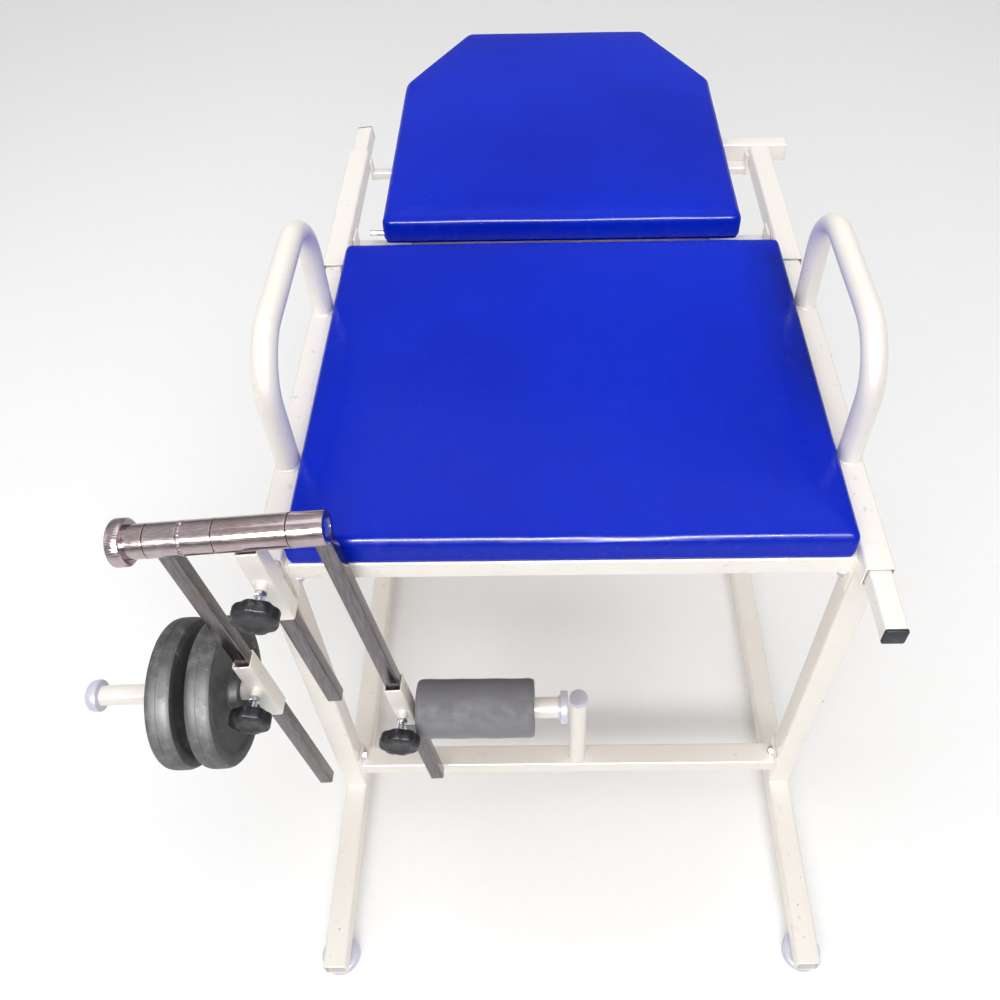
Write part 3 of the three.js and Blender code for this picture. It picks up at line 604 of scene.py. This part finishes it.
def plate_bar(node, y, bar_z, plate_low, plate_high):
    """Flat crossbar with a plate welded to each end and the rim of a hole in its top."""
    height = 33
    bar = moved(square_tube(height, TUBE, 2 * (BAR_END - PLATE + 0.5)),
                at(-BAR_END + PLATE - 0.5, y + TUBE / 2, bar_z + height / 2) @ turned_to((1, 0, 0)))
    parts = [bar]
    for sign in (-1, 1):
        inner = sign * (BAR_END - PLATE)
        low_x, high_x = sorted((sign * BAR_END, inner))
        parts.append(slab((low_x, y, plate_low), (high_x, y + TUBE, plate_high), 1.2))
        for edge_y in (y + 0.5, y + TUBE - 0.5):
            path = [Vector((inner, edge_y, bar_z + 3)), Vector((inner, edge_y, bar_z + height - 3))]
            parts.append(bead(path, WELD, edge_y + sign))
        top = [Vector((inner, y + 4, bar_z + height)), Vector((inner, y + TUBE - 4, bar_z + height))]
        parts.append(bead(top, WELD, bar_z + sign))
    rim = hollow([(3.6, 0), (3.6, 0.5), (3.0, 0.6)], 2.2, 20)
    parts.append(moved(rim, at(-117, y + TUBE / 2, bar_z + height - 0.3)))
    piece(f"{node}_weldment", join(*parts), TABLE, "frame", "cream_paint", node)


def plate_bolt(name, sign, y, z, *nodes):
    """Bolt head on the inner face of a crossbar's end plate."""
    place = TABLE @ at(sign * (BAR_END - PLATE - 0.2), y + TUBE / 2, z) @ turned_to((-sign, 0, 0))
    piece(name, hex_bolt(6.8, 5.0, 9.0), place, "frame", "zinc", *nodes)


for end, y in zip(("front", "rear"), UPRIGHT_Y):
    plate_bar(f"lower_{end}_crossbar", y, bar_z=109, plate_low=94, plate_high=160)
    plate_bar(f"upper_{end}_crossbar", y, bar_z=743, plate_low=700, plate_high=773)
for side, sign in (("left", -1), ("right", 1)):
    plate_bolt(f"{side}_lower_front_bolt", sign, UPRIGHT_Y[0], 151, f"{side}_crossbar_bolt")
    plate_bolt(f"{side}_lower_rear_bolt", sign, UPRIGHT_Y[1], 151)
    for end, y in zip(("front", "rear"), UPRIGHT_Y):
        plate_bolt(f"{side}_upper_{end}_bolt", sign, y, 720)

# Storage peg on the lower front crossbar
peg_place = TABLE @ at(17, 17, 142.3)
peg = hollow([(15.2, 0), (14.2, 1.4), (13.5, 2.6), (13.5, 215.2), (13.2, 215.7)], 11.5, 48)
piece("storage_peg_tube", peg, peg_place, "frame", "cream_paint", "storage_peg")
peg_cap = lathe([(13.6, 0), (14.9, 0.3), (15, 1.2), (15, 6.4), (14.3, 8.0), (12.6, 8.7), (6, 8.7)], 48)
piece("storage_peg_lid", peg_cap, TABLE @ at(17, 17, 358.3), "frame", "white_plastic", "storage_peg_cap")

# ------------------------------------------------------------------ handles

HANDLE_LEGS = (163, 489)
HANDLE_RADIUS = 17


def handle_path():
    """Inverted U: two legs, two bends and the grip between them."""
    front, rear = HANDLE_LEGS
    bend = 84
    base, top = RAIL_TOP + 0.4, RAIL_TOP + 194
    points = [Vector((0, front, base)), Vector((0, front, base + 40)), Vector((0, front, top - bend))]
    for centre, start in ((front + bend, 180), (rear - bend, 90)):
        for i in range(1, 16):
            angle = math.radians(start - i * 6)
            offset = Vector((0, math.cos(angle), math.sin(angle)))
            points.append(Vector((0, centre, top - bend)) + bend * offset)
    points += [Vector((0, rear, base + 40)), Vector((0, rear, base))]
    return points


for side, sign in (("left", -1), ("right", 1)):
    x = sign * (RAIL_X - 1)
    parts = [sweep(handle_path(), HANDLE_RADIUS)]
    weld_radius = HANDLE_RADIUS + 0.2
    for y in HANDLE_LEGS:
        angles = [math.radians(10 * k) for k in range(37)]
        circle = [Vector((weld_radius * math.cos(a), y + weld_radius * math.sin(a), RAIL_TOP + 1.2))
                  for a in angles]
        parts.append(bead(circle, 1.6, y))
    place = TABLE @ at(x, 0, 0)
    piece(f"{side}_handle_tube", join(*parts), place, "frame", "cream_paint", f"{side}_handle")

# ------------------------------------------------------------------ upholstery

PAD_EDGE = 15  # radius of the pads' top edges
PAD_INSET = 1.0  # room that the block leaves round itself before it swells
PAD_SWELL = 3.2  # thickness that swelling and the crown add
PAD_GAP = 0.5  # between the pad's lower line and the block
# The rest are in metres.
TOP_BAND = 0.012  # depth of the part that moves with the top
SIDE_START = 0.008
CROWN_HEIGHT, CROWN_REACH = 0.0024, 0.11
ROLL_DEPTH, ROLL_REACH = 0.0016, 0.040
TOP_WAVE, SIDE_WAVE = 0.0010, 0.0009


def pad_outline(corners, inset, fillet, steps=6):
    """Inset polygon with its corners rounded by short curves."""
    count = len(corners)
    shrunk = []
    for i, corner in enumerate(corners):
        before = (corners[i - 1] - corner).normalized()
        after = (corners[(i + 1) % count] - corner).normalized()
        middle = (before + after).normalized()
        shrunk.append(corner + middle * inset / math.sin(before.angle(after) / 2))
    points = []
    for i, corner in enumerate(shrunk):
        enter = corner + (shrunk[i - 1] - corner).normalized() * fillet
        leave = corner + (shrunk[(i + 1) % count] - corner).normalized() * fillet
        for k in range(steps + 1):
            t = k / steps
            points.append((1 - t) ** 2 * enter + 2 * t * (1 - t) * corner + t ** 2 * leave)
    return points


def pad_solid(corners, fillet, thickness):
    """Flat-bottomed block with a rounded top edge, a little smaller than the finished pad."""
    mesh = bmesh.new()
    levels = [(2.0, 0.0), (0.6, 2.2), (0.0, 6.0)]
    for angle in range(0, 91, 15):
        out, up = math.cos(math.radians(angle)), math.sin(math.radians(angle))
        levels.append((PAD_EDGE * (1 - out), thickness - PAD_EDGE * (1 - up)))
    rings = []
    for inset, z in levels:
        outline = pad_outline(corners, PAD_INSET + inset, fillet)
        rings.append(ring(mesh, [(point.x, point.y, z) for point in outline]))
    skin(mesh, rings)
    mesh.faces.new(rings[0][::-1])
    mesh.faces.new(rings[-1])
    bmesh.ops.triangulate(mesh, faces=[face for face in mesh.faces if len(face.verts) > 4])
    bmesh.ops.recalc_face_normals(mesh, faces=mesh.faces[:])
    return mesh


def evaluated_copy(made):
    """Applies the object's modifiers to its mesh."""
    graph = bpy.context.evaluated_depsgraph_get()
    graph.update()
    mesh = bpy.data.meshes.new_from_object(made.evaluated_get(graph))
    made.modifiers.clear()
    old = made.data
    made.data = mesh
    bpy.data.meshes.remove(old)


def puff(made, floor, cap, voxel=0.006, frames=20, pressure=4.0):
    """Swells a remeshed pad with cloth pressure; its flat underside stays pinned to the board."""
    remesh = made.modifiers.new("remesh", "REMESH")
    remesh.mode = "VOXEL"
    remesh.voxel_size = voxel
    evaluated_copy(made)
    start = [vertex.co.copy() for vertex in made.data.vertices]
    pinned = made.vertex_groups.new(name="pinned")
    pinned.add([v.index for v in made.data.vertices if v.co.z < floor + voxel], 1.0, "REPLACE")
    cloth = made.modifiers.new("cloth", "CLOTH")
    cloth.settings.use_pressure = True
    cloth.settings.uniform_pressure_force = pressure
    cloth.settings.vertex_group_mass = "pinned"
    cloth.settings.effector_weights.gravity = 0
    cloth.point_cache.frame_end = frames
    scene = bpy.context.scene
    for step in range(1, frames + 1):
        scene.frame_set(step)
    relax = made.modifiers.new("relax", "SMOOTH")
    relax.factor = 0.5
    relax.iterations = 6
    evaluated_copy(made)
    scene.frame_set(1)
    made.vertex_groups.clear()
    for vertex, before in zip(made.data.vertices, start):
        shift = vertex.co - before
        if shift.length > cap:
            vertex.co = before + shift.normalized() * cap


def crease_corners(made, corners, centre_z, depth):
    """Gathers the cover into small pleats where it turns round each corner."""
    reach = 0.030
    for vertex in made.data.vertices:
        for corner in corners:
            offset = Vector((vertex.co.x - corner.x, vertex.co.y - corner.y))
            near = max(0, 1 - offset.length / reach)
            if near > 0:
                angle = math.atan2(offset.y, offset.x)
                low = max(0, min(1, (centre_z - vertex.co.z) / 0.02 + 0.6))
                fold = math.sin(angle * 9 + corner.x * 40) ** 3
                vertex.co += Vector((offset.x, offset.y, 0)).normalized() * fold * depth * near * low


def edge_distance(point, a, b):
    """How far inside the edge from a to b a point lies, seen from above."""
    along = (b - a).normalized()
    return along.x * (point.y - a.y) - along.y * (point.x - a.x)


def inside_share(point, corners, reach):
    """How far inside the outline a point lies: 0 at its edges, 1 from reach inwards."""
    share = 1.0
    for a, b in zip(corners, corners[1:] + corners[:1]):
        rise = max(0, min(1, edge_distance(point, a, b) / reach))
        share *= rise * rise * (3 - 2 * rise)
    return share


def shape_cover(made, corners, bottom, top, pull):
    """Crowns the top, rolls it down at the edges and lets the sides wave; sizes in metres."""
    for vertex in made.data.vertices:
        point = vertex.co
        if point.z > top - TOP_BAND:
            wave = noise.noise(Vector((point.x * 5, point.y * 5, pull)))
            point.z += inside_share(point, corners, CROWN_REACH) * CROWN_HEIGHT + wave * TOP_WAVE
            point.z -= (1 - inside_share(point, corners, ROLL_REACH)) * ROLL_DEPTH
        if bottom + SIDE_START < point.z < top - TOP_BAND:
            wave = noise.noise(Vector((point.x * 14, point.y * 14, point.z * 30 + pull)))
            point.z += wave * SIDE_WAVE


def upholstered(name, node, corners, fillet, bottom, thickness, body, pull):
    """Vinyl-covered pad: a swelled block with corner pleats, a crown and slight waves."""
    solid = pad_solid(corners, fillet, thickness - PAD_SWELL)
    mesh = moved(solid, TABLE @ at(0, 0, bottom + PAD_GAP))
    data = bpy.data.meshes.new(name)
    mesh.to_mesh(data)
    mesh.free()
    made = bpy.data.objects.new(name, data)
    bpy.context.scene.collection.objects.link(made)
    puff(made, (bottom + PAD_GAP) * MM, cap=0.0022)
    world = [TABLE @ Vector((corner.x, corner.y, 0)) for corner in corners]
    crease_corners(made, world, (bottom + thickness / 2) * MM, 0.0011)
    shape_cover(made, world, bottom * MM, (bottom + thickness) * MM, pull)
    bpy.context.view_layer.update()
    smooth = made.modifiers.new("smooth", "SUBSURF")
    smooth.levels = smooth.render_levels = 1
    evaluated_copy(made)
    for polygon in made.data.polygons:
        polygon.use_smooth = True
    made.data.materials.clear()
    made.data.materials.append(VINYL)
    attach(made, body)
    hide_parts(node)


def hem(name, corners, fillet, z, body):
    """Cover's folded margin stapled round the board's underside."""
    mesh = bmesh.new()
    outer = pad_outline(corners, 5.0, fillet)
    inner = pad_outline(corners, 34.0, fillet)
    rings = []
    for outline, height in ((outer, z), (inner, z), (inner, z - 0.35), (outer, z - 0.35)):
        rings.append(ring(mesh, [(point.x, point.y, height) for point in outline]))
    skin(mesh, rings, closed=True)
    piece(name, mesh, TABLE, body, "blue_vinyl")


seat_corners = [Vector(p) for p in ((-369.5, -2), (369.5, -2), (369.5, 626), (-369.5, 626))]
back_corners = [Vector(p) for p in
                ((-311, 659), (311, 659), (311, 1141), (194, 1357), (-194, 1357), (-311, 1141))]
SEAT_FILLET = 8
BACK_FILLET = 11
upholstered("seat_cushion", "seat_pad", seat_corners, SEAT_FILLET, 776.5, 52, "frame", 3.0)
upholstered("back_cushion", "backrest_pad", back_corners, BACK_FILLET, 789.5, 54, "backrest", 11.0)
hem("seat_cover_margin", seat_corners, SEAT_FILLET, 776.4, "frame")
hem("back_cover_margin", back_corners, BACK_FILLET, 789.4, "backrest")

# ------------------------------------------------------------------ rear carriage


def carriage_bar(node, y, size, *extras):
    """Square crossbar under the carriage rails with plates up their inner faces."""
    top = RAIL_TOP - TUBE - 0.5
    bar = moved(square_tube(size, size, 2 * (BAR_END - PLATE + 0.5)),
                at(-BAR_END + PLATE - 0.5, y + size / 2, top - size / 2) @ turned_to((1, 0, 0)))
    parts = [bar, *extras]
    for sign in (-1, 1):
        low_x, high_x = sorted((sign * BAR_END, sign * (BAR_END - PLATE)))
        parts.append(slab((low_x, y, top - size), (high_x, y + size, RAIL_TOP - 14), 1.2))
        inner = sign * (BAR_END - PLATE)
        path = [Vector((inner, y + 4, top)), Vector((inner, y + size - 4, top))]
        parts.append(bead(path, WELD, y + sign))
    piece(f"{node}_weldment", join(*parts), TABLE, "rear_carriage", "cream_paint", node)


hinge_y, hinge_z = HINGE
ears = []
for sign in (-1, 1):
    x = sign * 270
    eye = hollow([(10.6, -2.5), (11, -2.1), (11, 2.1), (10.6, 2.5)], 5.5, 40)
    ears.append(moved(eye, at(x, hinge_y, hinge_z) @ turned_to((1, 0, 0))))
    ears.append(slab((x - 2.2, hinge_y - 10.5, 749), (x + 2.2, hinge_y + 7.5, hinge_z - 6.5), 0.6))
carriage_bar("hinge_crossbar", HINGE_BAR_Y, TUBE, *ears)
carriage_bar("rear_crossbar", REAR_BAR_Y, REAR_BAR)

rod = lathe([(4.2, 0), (5, 0.8), (5, 637.2), (4.2, 638)], 32)
piece("hinge_rod_bar", rod, TABLE @ at(-342, hinge_y, hinge_z) @ turned_to((1, 0, 0)), "rear_carriage",
      "zinc", "hinge_rod")

seam = [Vector((x, 965.4, RAIL_TOP - 0.4)) for x in (372, 408)]
tee = join(
    moved(square_tube(TUBE, 29, 699), at(-255, TEE_Y, RAIL_MIDDLE) @ turned_to((1, 0, 0))),
    moved(lid(TUBE, 29, 2.6, edge=1.8), at(443.4, TEE_Y, RAIL_MIDDLE) @ turned_to((1, 0, 0))),
    bead(seam, WELD, 5),
)
piece("rear_tee_tube", tee, TABLE, "rear_carriage", "cream_paint", "rear_tee_bar")



def telescope(side, frame_matrix, x, y, z, length, lid_y, lid_thickness, lid_axis):
    """Inner tube that slides in a rail, and the lid in one end of it."""
    body = f"{side}_telescope"
    tube = square_tube(INNER_TUBE, INNER_TUBE, length, corner=INNER_CORNER)
    tube = moved(tube, at(x, y, z) @ turned_to((0, 1, 0)))
    piece(f"{body}_tube", tube, frame_matrix, body, "cream_paint", f"{side}_inner_tube")
    plug = lid(INNER_TUBE, INNER_TUBE, lid_thickness, corner=INNER_CORNER)
    plug = moved(plug, at(x, lid_y, z) @ turned_to(lid_axis))
    piece(f"{body}_lid", plug, frame_matrix, body, "black_plastic", f"{side}_inner_tube_cap")


telescope("right", TABLE, RAIL_X, -107.5, RAIL_MIDDLE, 1047.5, -107.8, 3.7, (0, -1, 0))

# ------------------------------------------------------------------ knee-extension unit

telescope("left", UNIT, 0, 14.3, 0, 1064.7, 1079.3, 2.7, (0, 1, 0))


def clamp_sleeve(name, x, y, width, depth, low, high, knob_z, body, node):
    """Rectangular sleeve with a threaded boss welded to its front face."""
    face = y - depth / 2
    parts = [moved(square_tube(width, depth, high - low, corner=INNER_CORNER), at(x, y, low))]
    boss = hollow([(9.2, 0), (8.4, 1.6), (8, 2.6), (8, 11.4), (7.5, 12)], 5.4, 40)
    parts.append(moved(boss, at(x, face + 0.6, knob_z) @ turned_to((0, -1, 0))))
    piece(name, join(*parts), UNIT, body, "cream_paint", node)


post_knob_z = SHAFT_Z - 90
clamp_sleeve("post_clamp_sleeve", POST_X, 0, 30, 28, -69.5, 80.5, post_knob_z,
             "left_telescope", "post_sleeve")
hand_screw("post", "post_screw", POST_X, -14, post_knob_z)

post_bar = moved(square_tube(*BAR, 397, corner=BAR_CORNER), at(POST_X, 0, -311.5))
piece("post_bar", post_bar, UNIT, "post", "worn_steel", "post")


def along_shaft(mesh, x=0):
    """Lays a shape built along +Z on the shaft's line, from station x."""
    return moved(mesh, at(x, 0, SHAFT_Z) @ turned_to((1, 0, 0)))


def hub(name, stations, body, *nodes):
    """Turned sleeve on the shaft, chamfered where it meets its neighbours."""
    start, end = stations
    length = end - start - 0.6
    r = HUB_RADIUS
    profile = [(r - 0.9, 0), (r, 0.9), (r, length - 0.9), (r - 0.9, length)]
    sleeve = along_shaft(hollow(profile, BORE, 72), start + 0.3)
    piece(name, sleeve, UNIT, body, "bright_chrome", *nodes)


hub("bearing_sleeve", BEARING, "post", "bearing_housing")
saddle = bead([Vector((x, -9.5, SHAFT_Z - 20.2)) for x in (-8, 12)], 1.3, 2)
piece("post_saddle_weld", saddle, UNIT, "post", "worn_steel")


def clutch_sleeve():
    """Clutch hub whose outer end carries a ring of small serrations."""
    start, end = CLUTCH_HUB
    length = end - start - 0.6
    r = HUB_RADIUS
    profile = [(r - 1.4, 0), (r - 1.4, 3.2), (r, 3.6), (r, length - 0.9), (r - 0.9, length)]
    parts = [along_shaft(hollow(profile, BORE, 72), start + 0.3)]
    teeth = 28
    for i in range(teeth):
        angle = 2 * math.pi * i / teeth
        tooth = slab((-1.7, -0.9, 0), (1.7, 0.7, 3.4), 0.3, 1)
        turn = Matrix.Rotation(angle, 4, "Z") @ at(0, r - 0.7, 0)
        parts.append(along_shaft(moved(tooth, turn), start + 0.35))
    return join(*parts)


piece("clutch_sleeve", clutch_sleeve(), UNIT, "shaft", "bright_chrome", "clutch_hub")


def arm(prefix, hub_stations, bar_x, length, body):
    """Square steel tube hanging from a chromed hub, with the welds between them."""
    hub(f"{prefix}_arm_hub", hub_stations, body)
    bar = square_tube(*BAR, length - HUB_RADIUS + 3, corner=BAR_CORNER)
    bar = moved(bar, at(bar_x, 0, SHAFT_Z - length))
    half = BAR[0] / 2 - 1
    welds = []
    for y in (-9.6, 9.6):
        path = [Vector((bar_x + end * half, y, SHAFT_Z - 19.6)) for end in (-1, 1)]
        welds.append(bead(path, 1.3, y))
    piece(f"{prefix}_arm_bar", join(bar, *welds), UNIT, body, "worn_steel", f"{prefix}_arm")


arm("weight", WEIGHT_HUB, WEIGHT_ARM_X, 718, "weight_arm")
arm("leg", LEG_HUB, LEG_ARM_X, 724, "shaft")

shaft_bar = lathe([(10.5, 0), (12, 1.5), (12, 257.5), (10.5, 259)], 48)
piece("shaft_bar", along_shaft(shaft_bar, -150), UNIT, "shaft", "zinc", "shaft")


def lock_nut():
    """Collar and a wide rim with a straight knurl."""
    mesh = bmesh.new()
    teeth = 60
    steps = teeth * 4
    length = 18.5
    sections = [  # radius, distance along the shaft and share of the knurl's depth
        (BORE, 0, 0), (27.0, 0, 0), (29.4, 1.6, 0.4), (30, 2.6, 1),
        (30, length - 2.6, 1), (29.4, length - 1.6, 0.4), (27.4, length, 0), (BORE, length, 0),
    ]
    rings = []
    for radius, x, knurl in sections:
        points = []
        for i in range(steps):
            angle = 2 * math.pi * i / steps
            size = radius - 0.45 * knurl * (1 - math.cos(teeth * angle)) / 2
            points.append((size * math.cos(angle), size * math.sin(angle), x))
        rings.append(ring(mesh, points))
    skin(mesh, rings, closed=True)
    r = HUB_RADIUS
    collar = hollow([(r, 0), (r, 22.9), (r - 0.9, 23.8)], BORE, 72)
    return join(along_shaft(mesh, -154), along_shaft(collar, -135.3))


piece("lock_nut_body", lock_nut(), UNIT, "lock_nut", "bright_chrome", "lock_nut")

# ------------------------------------------------------------------ sliders, roller and weights

SLIDER_Y = (BAR[1] - SLIDER[1]) / 2 + 2.5


def slider(prefix, x, top, bottom, knob):
    """Clamp sleeve on an arm, with its hand screw; places are distances below the shaft."""
    clamp_sleeve(f"{prefix}_clamp_sleeve", x, SLIDER_Y, *SLIDER, SHAFT_Z - bottom, SHAFT_Z - top,
                 SHAFT_Z - knob, f"{prefix}_slider", f"{prefix}_slider")
    hand_screw(prefix, f"{prefix}_screw", x, SLIDER_Y - SLIDER[1] / 2, SHAFT_Z - knob)


slider("leg", LEG_ARM_X, 385, 497, 455)
slider("weight", WEIGHT_ARM_X, 290, 438, 357)


def pivot(x, below, tilt):
    """Axes of a side peg: origin at the sleeve's face, x outwards along the bench."""
    turn = Matrix.Rotation(math.radians(tilt), 4, "Y")
    return UNIT @ at(x, SLIDER_Y, SHAFT_Z - below) @ turn @ turned_to((1, 0, 0))


SLEEVE_FACE = 13.8  # from an arm's middle to the peg's weld on its sleeve
leg_axis = pivot(LEG_ARM_X + SLEEVE_FACE, 474, 5.6)
weight_axis = pivot(WEIGHT_ARM_X - SLEEVE_FACE, 381, 2.2) @ Matrix.Rotation(math.pi, 4, "X")

spindle = hollow([(17.4, 2.2), (16.4, 3.6), (16, 4.6), (16, 222.6), (15.6, 223)], 14, 48)
piece("roller_tube", spindle, leg_axis, "leg_slider", "cream_paint", "roller_spindle")
roller_lid = [(16.2, 223.3), (18, 223.6), (18, 226), (24.2, 226.2), (25, 227.2), (25, 236.2),
              (24, 237.6), (21.4, 238), (8, 238)]
piece("roller_end_cap", lathe(roller_lid, 64), leg_axis, "leg_slider", "white_plastic", "roller_cap")


def foam_sleeve():
    """Foam cylinder with soft ends and slight unevenness along its length."""
    profile = [(38.5, 5.2), (42.2, 5.9), (44.0, 8.2), (44.8, 12)]
    profile += [(44.8 + 0.25 * math.sin(z * 0.11), z) for z in range(20, 176, 6)]
    profile += [(44.9, 178), (44.1, 182.2), (42.4, 185.2), (38.8, 186)]
    mesh = hollow(profile, 16.7, 96)
    for vertex in mesh.verts:
        outward = Vector((vertex.co.x, vertex.co.y, 0))
        if outward.length > 30:
            place = Vector((vertex.co.x, vertex.co.y, vertex.co.z)) * 0.022
            vertex.co += outward.normalized() * noise.noise(place) * 0.5
    return mesh


piece("foam_sleeve", foam_sleeve(), leg_axis, "foam_roller", "grey_foam", "foam_roller")

weight_peg = hollow([(16.6, 2.2), (15.4, 3.6), (15, 4.6), (15, 234.6), (14.6, 235)], 13, 48)
piece("weight_peg_tube", weight_peg, weight_axis, "weight_slider", "cream_paint", "weight_peg")
peg_dome = lathe([(20.4, 235.3), (23.2, 235.8), (24, 237.4), (24, 243), (23.4, 247), (21.6, 250.6),
                  (18, 253.8), (12.6, 256), (6, 256.9)], 64)
piece("weight_peg_knob", peg_dome, weight_axis, "weight_slider", "white_plastic", "weight_peg_cap")


def disc(middle):
    """Rubber-coated disc: hub, dished web, raised rim with soft shoulders and a mould line."""
    half = 18.5
    outer = [(16.2, 27.2), (17.4, 27.7), (25.6, 27.7), (27, 26.4), (28.4, 15.2), (31, 12.9),
             (84, 12.5), (88.6, 13.4), (91.6, 16.6), (94.4, 18.3), (98, half), (104.2, half),
             (107.6, 17.6), (110.0, 14.6), (111.3, 10), (111.6, 5), (111.6, 0.9), (111.1, 0.5)]
    lower = [(radius, -z) for radius, z in outer]
    mesh = lathe([*lower, *reversed(outer)], 112, closed=True)
    return moved(mesh, at(0, 0, middle))


for name, middle in (("inner", 44.5), ("outer", 101.5)):
    body = f"{name}_disc"
    piece(f"{body}_body", disc(middle), weight_axis, body, "disc_rubber", f"{name}_weight_disc")

# ------------------------------------------------------------------ CAD nodes that stay as they are

slot_names = {row["node"]: row["material_slot"] for row in frame["record"]["subparts"]}
for name, node in frame["nodes"].items():
    if not node.hide_render:
        node.data.materials.clear()
        node.data.materials.append(SLOTS[slot_names[name]])

# ------------------------------------------------------------------ floor, light and camera


def stage_floor():
    """Plain pale floor with a faint speckle."""
    s = Shader("floor")
    speck = s.noise(40, 3)
    s.done(s.mix(speck, (0.93, 0.93, 0.93), (0.97, 0.97, 0.97)), 0.9, s.bump(speck, 0.0005, 0.05))
    mesh = bmesh.new()
    bmesh.ops.create_grid(mesh, x_segments=4, y_segments=4, size=14)
    data = bpy.data.meshes.new("floor")
    mesh.to_mesh(data)
    mesh.free()
    made = bpy.data.objects.new("floor", data)
    data.materials.append(s.material)
    bpy.context.scene.collection.objects.link(made)


def area_light(name, place, target, size, power, glossy_only=False):
    """Rectangular lamp; a glossy-only one shows in reflections and lights nothing else."""
    data = bpy.data.lights.new(name, "AREA")
    data.shape = "RECTANGLE"
    data.size, data.size_y = size
    data.energy = power
    made = bpy.data.objects.new(name, data)
    made.location = place
    made.visible_diffuse = not glossy_only
    made.rotation_mode = "QUATERNION"
    made.rotation_quaternion = (Vector(target) - Vector(place)).to_track_quat("-Z", "Y")
    bpy.context.scene.collection.objects.link(made)


def front_camera():
    """Camera in front of the bench, above its edge and looking down at it."""
    data = bpy.data.cameras.new("camera")
    data.sensor_width = 36
    data.lens = 34.29
    data.shift_x = -0.04
    data.shift_y = -0.06
    data.dof.use_dof = False
    data.clip_start, data.clip_end = 0.05, 60
    made = bpy.data.objects.new("camera", data)
    pitch, yaw, roll = (math.radians(angle) for angle in (48.253, -0.753, -1.275))
    level_reach = math.cos(pitch)
    forward = Vector((math.sin(yaw) * level_reach, math.cos(yaw) * level_reach, -math.sin(pitch)))
    level = Vector((math.cos(yaw), -math.sin(yaw), 0))
    upright = level.cross(forward)
    right = level * math.cos(roll) + upright * math.sin(roll)
    up = upright * math.cos(roll) - level * math.sin(roll)
    turn = Matrix((right, up, -forward)).transposed().to_4x4()
    eye = TABLE @ Vector((-27.0, -698.7, 1795.5))
    made.matrix_world = Matrix.Translation(eye) @ turn
    bpy.context.scene.collection.objects.link(made)
    bpy.context.scene.camera = made


def studio_world():
    """White surroundings, dim at the horizon and brighter overhead."""
    world = bpy.data.worlds.new("studio")
    world.use_nodes = True
    sky = world.node_tree
    background = sky.nodes["Background"]
    place = sky.nodes.new("ShaderNodeTexCoord")
    height = sky.nodes.new("ShaderNodeSeparateXYZ")
    fade = sky.nodes.new("ShaderNodeMapRange")
    sky.links.new(place.outputs["Generated"], height.inputs["Vector"])
    sky.links.new(height.outputs["Z"], fade.inputs["Value"])
    sky.links.new(fade.outputs["Result"], background.inputs["Strength"])
    for key, value in (("From Min", 0.05), ("From Max", 0.7), ("To Min", 0.22), ("To Max", 0.72)):
        fade.inputs[key].default_value = value
    background.inputs["Color"].default_value = (1, 1, 1, 1)
    bpy.context.scene.world = world


stage_floor()
area_light("ceiling", (0.2, 0.3, 3.2), (0.1, 0, 0.7), (3.0, 2.6), 31)
area_light("front", (-0.1, -2.9, 2.5), (0.1, -0.4, 0.8), (2.8, 0.8), 34)
area_light("front_strip", (-0.1, -2.95, 2.55), (0.1, -0.4, 0.8), (3.0, 0.42), 950, glossy_only=True)
area_light("left", (-2.9, -0.8, 2.0), (0.1, 0, 0.6), (1.6, 1.6), 9)
studio_world()
bpy.context.scene.view_settings.view_transform = "Standard"
front_camera()
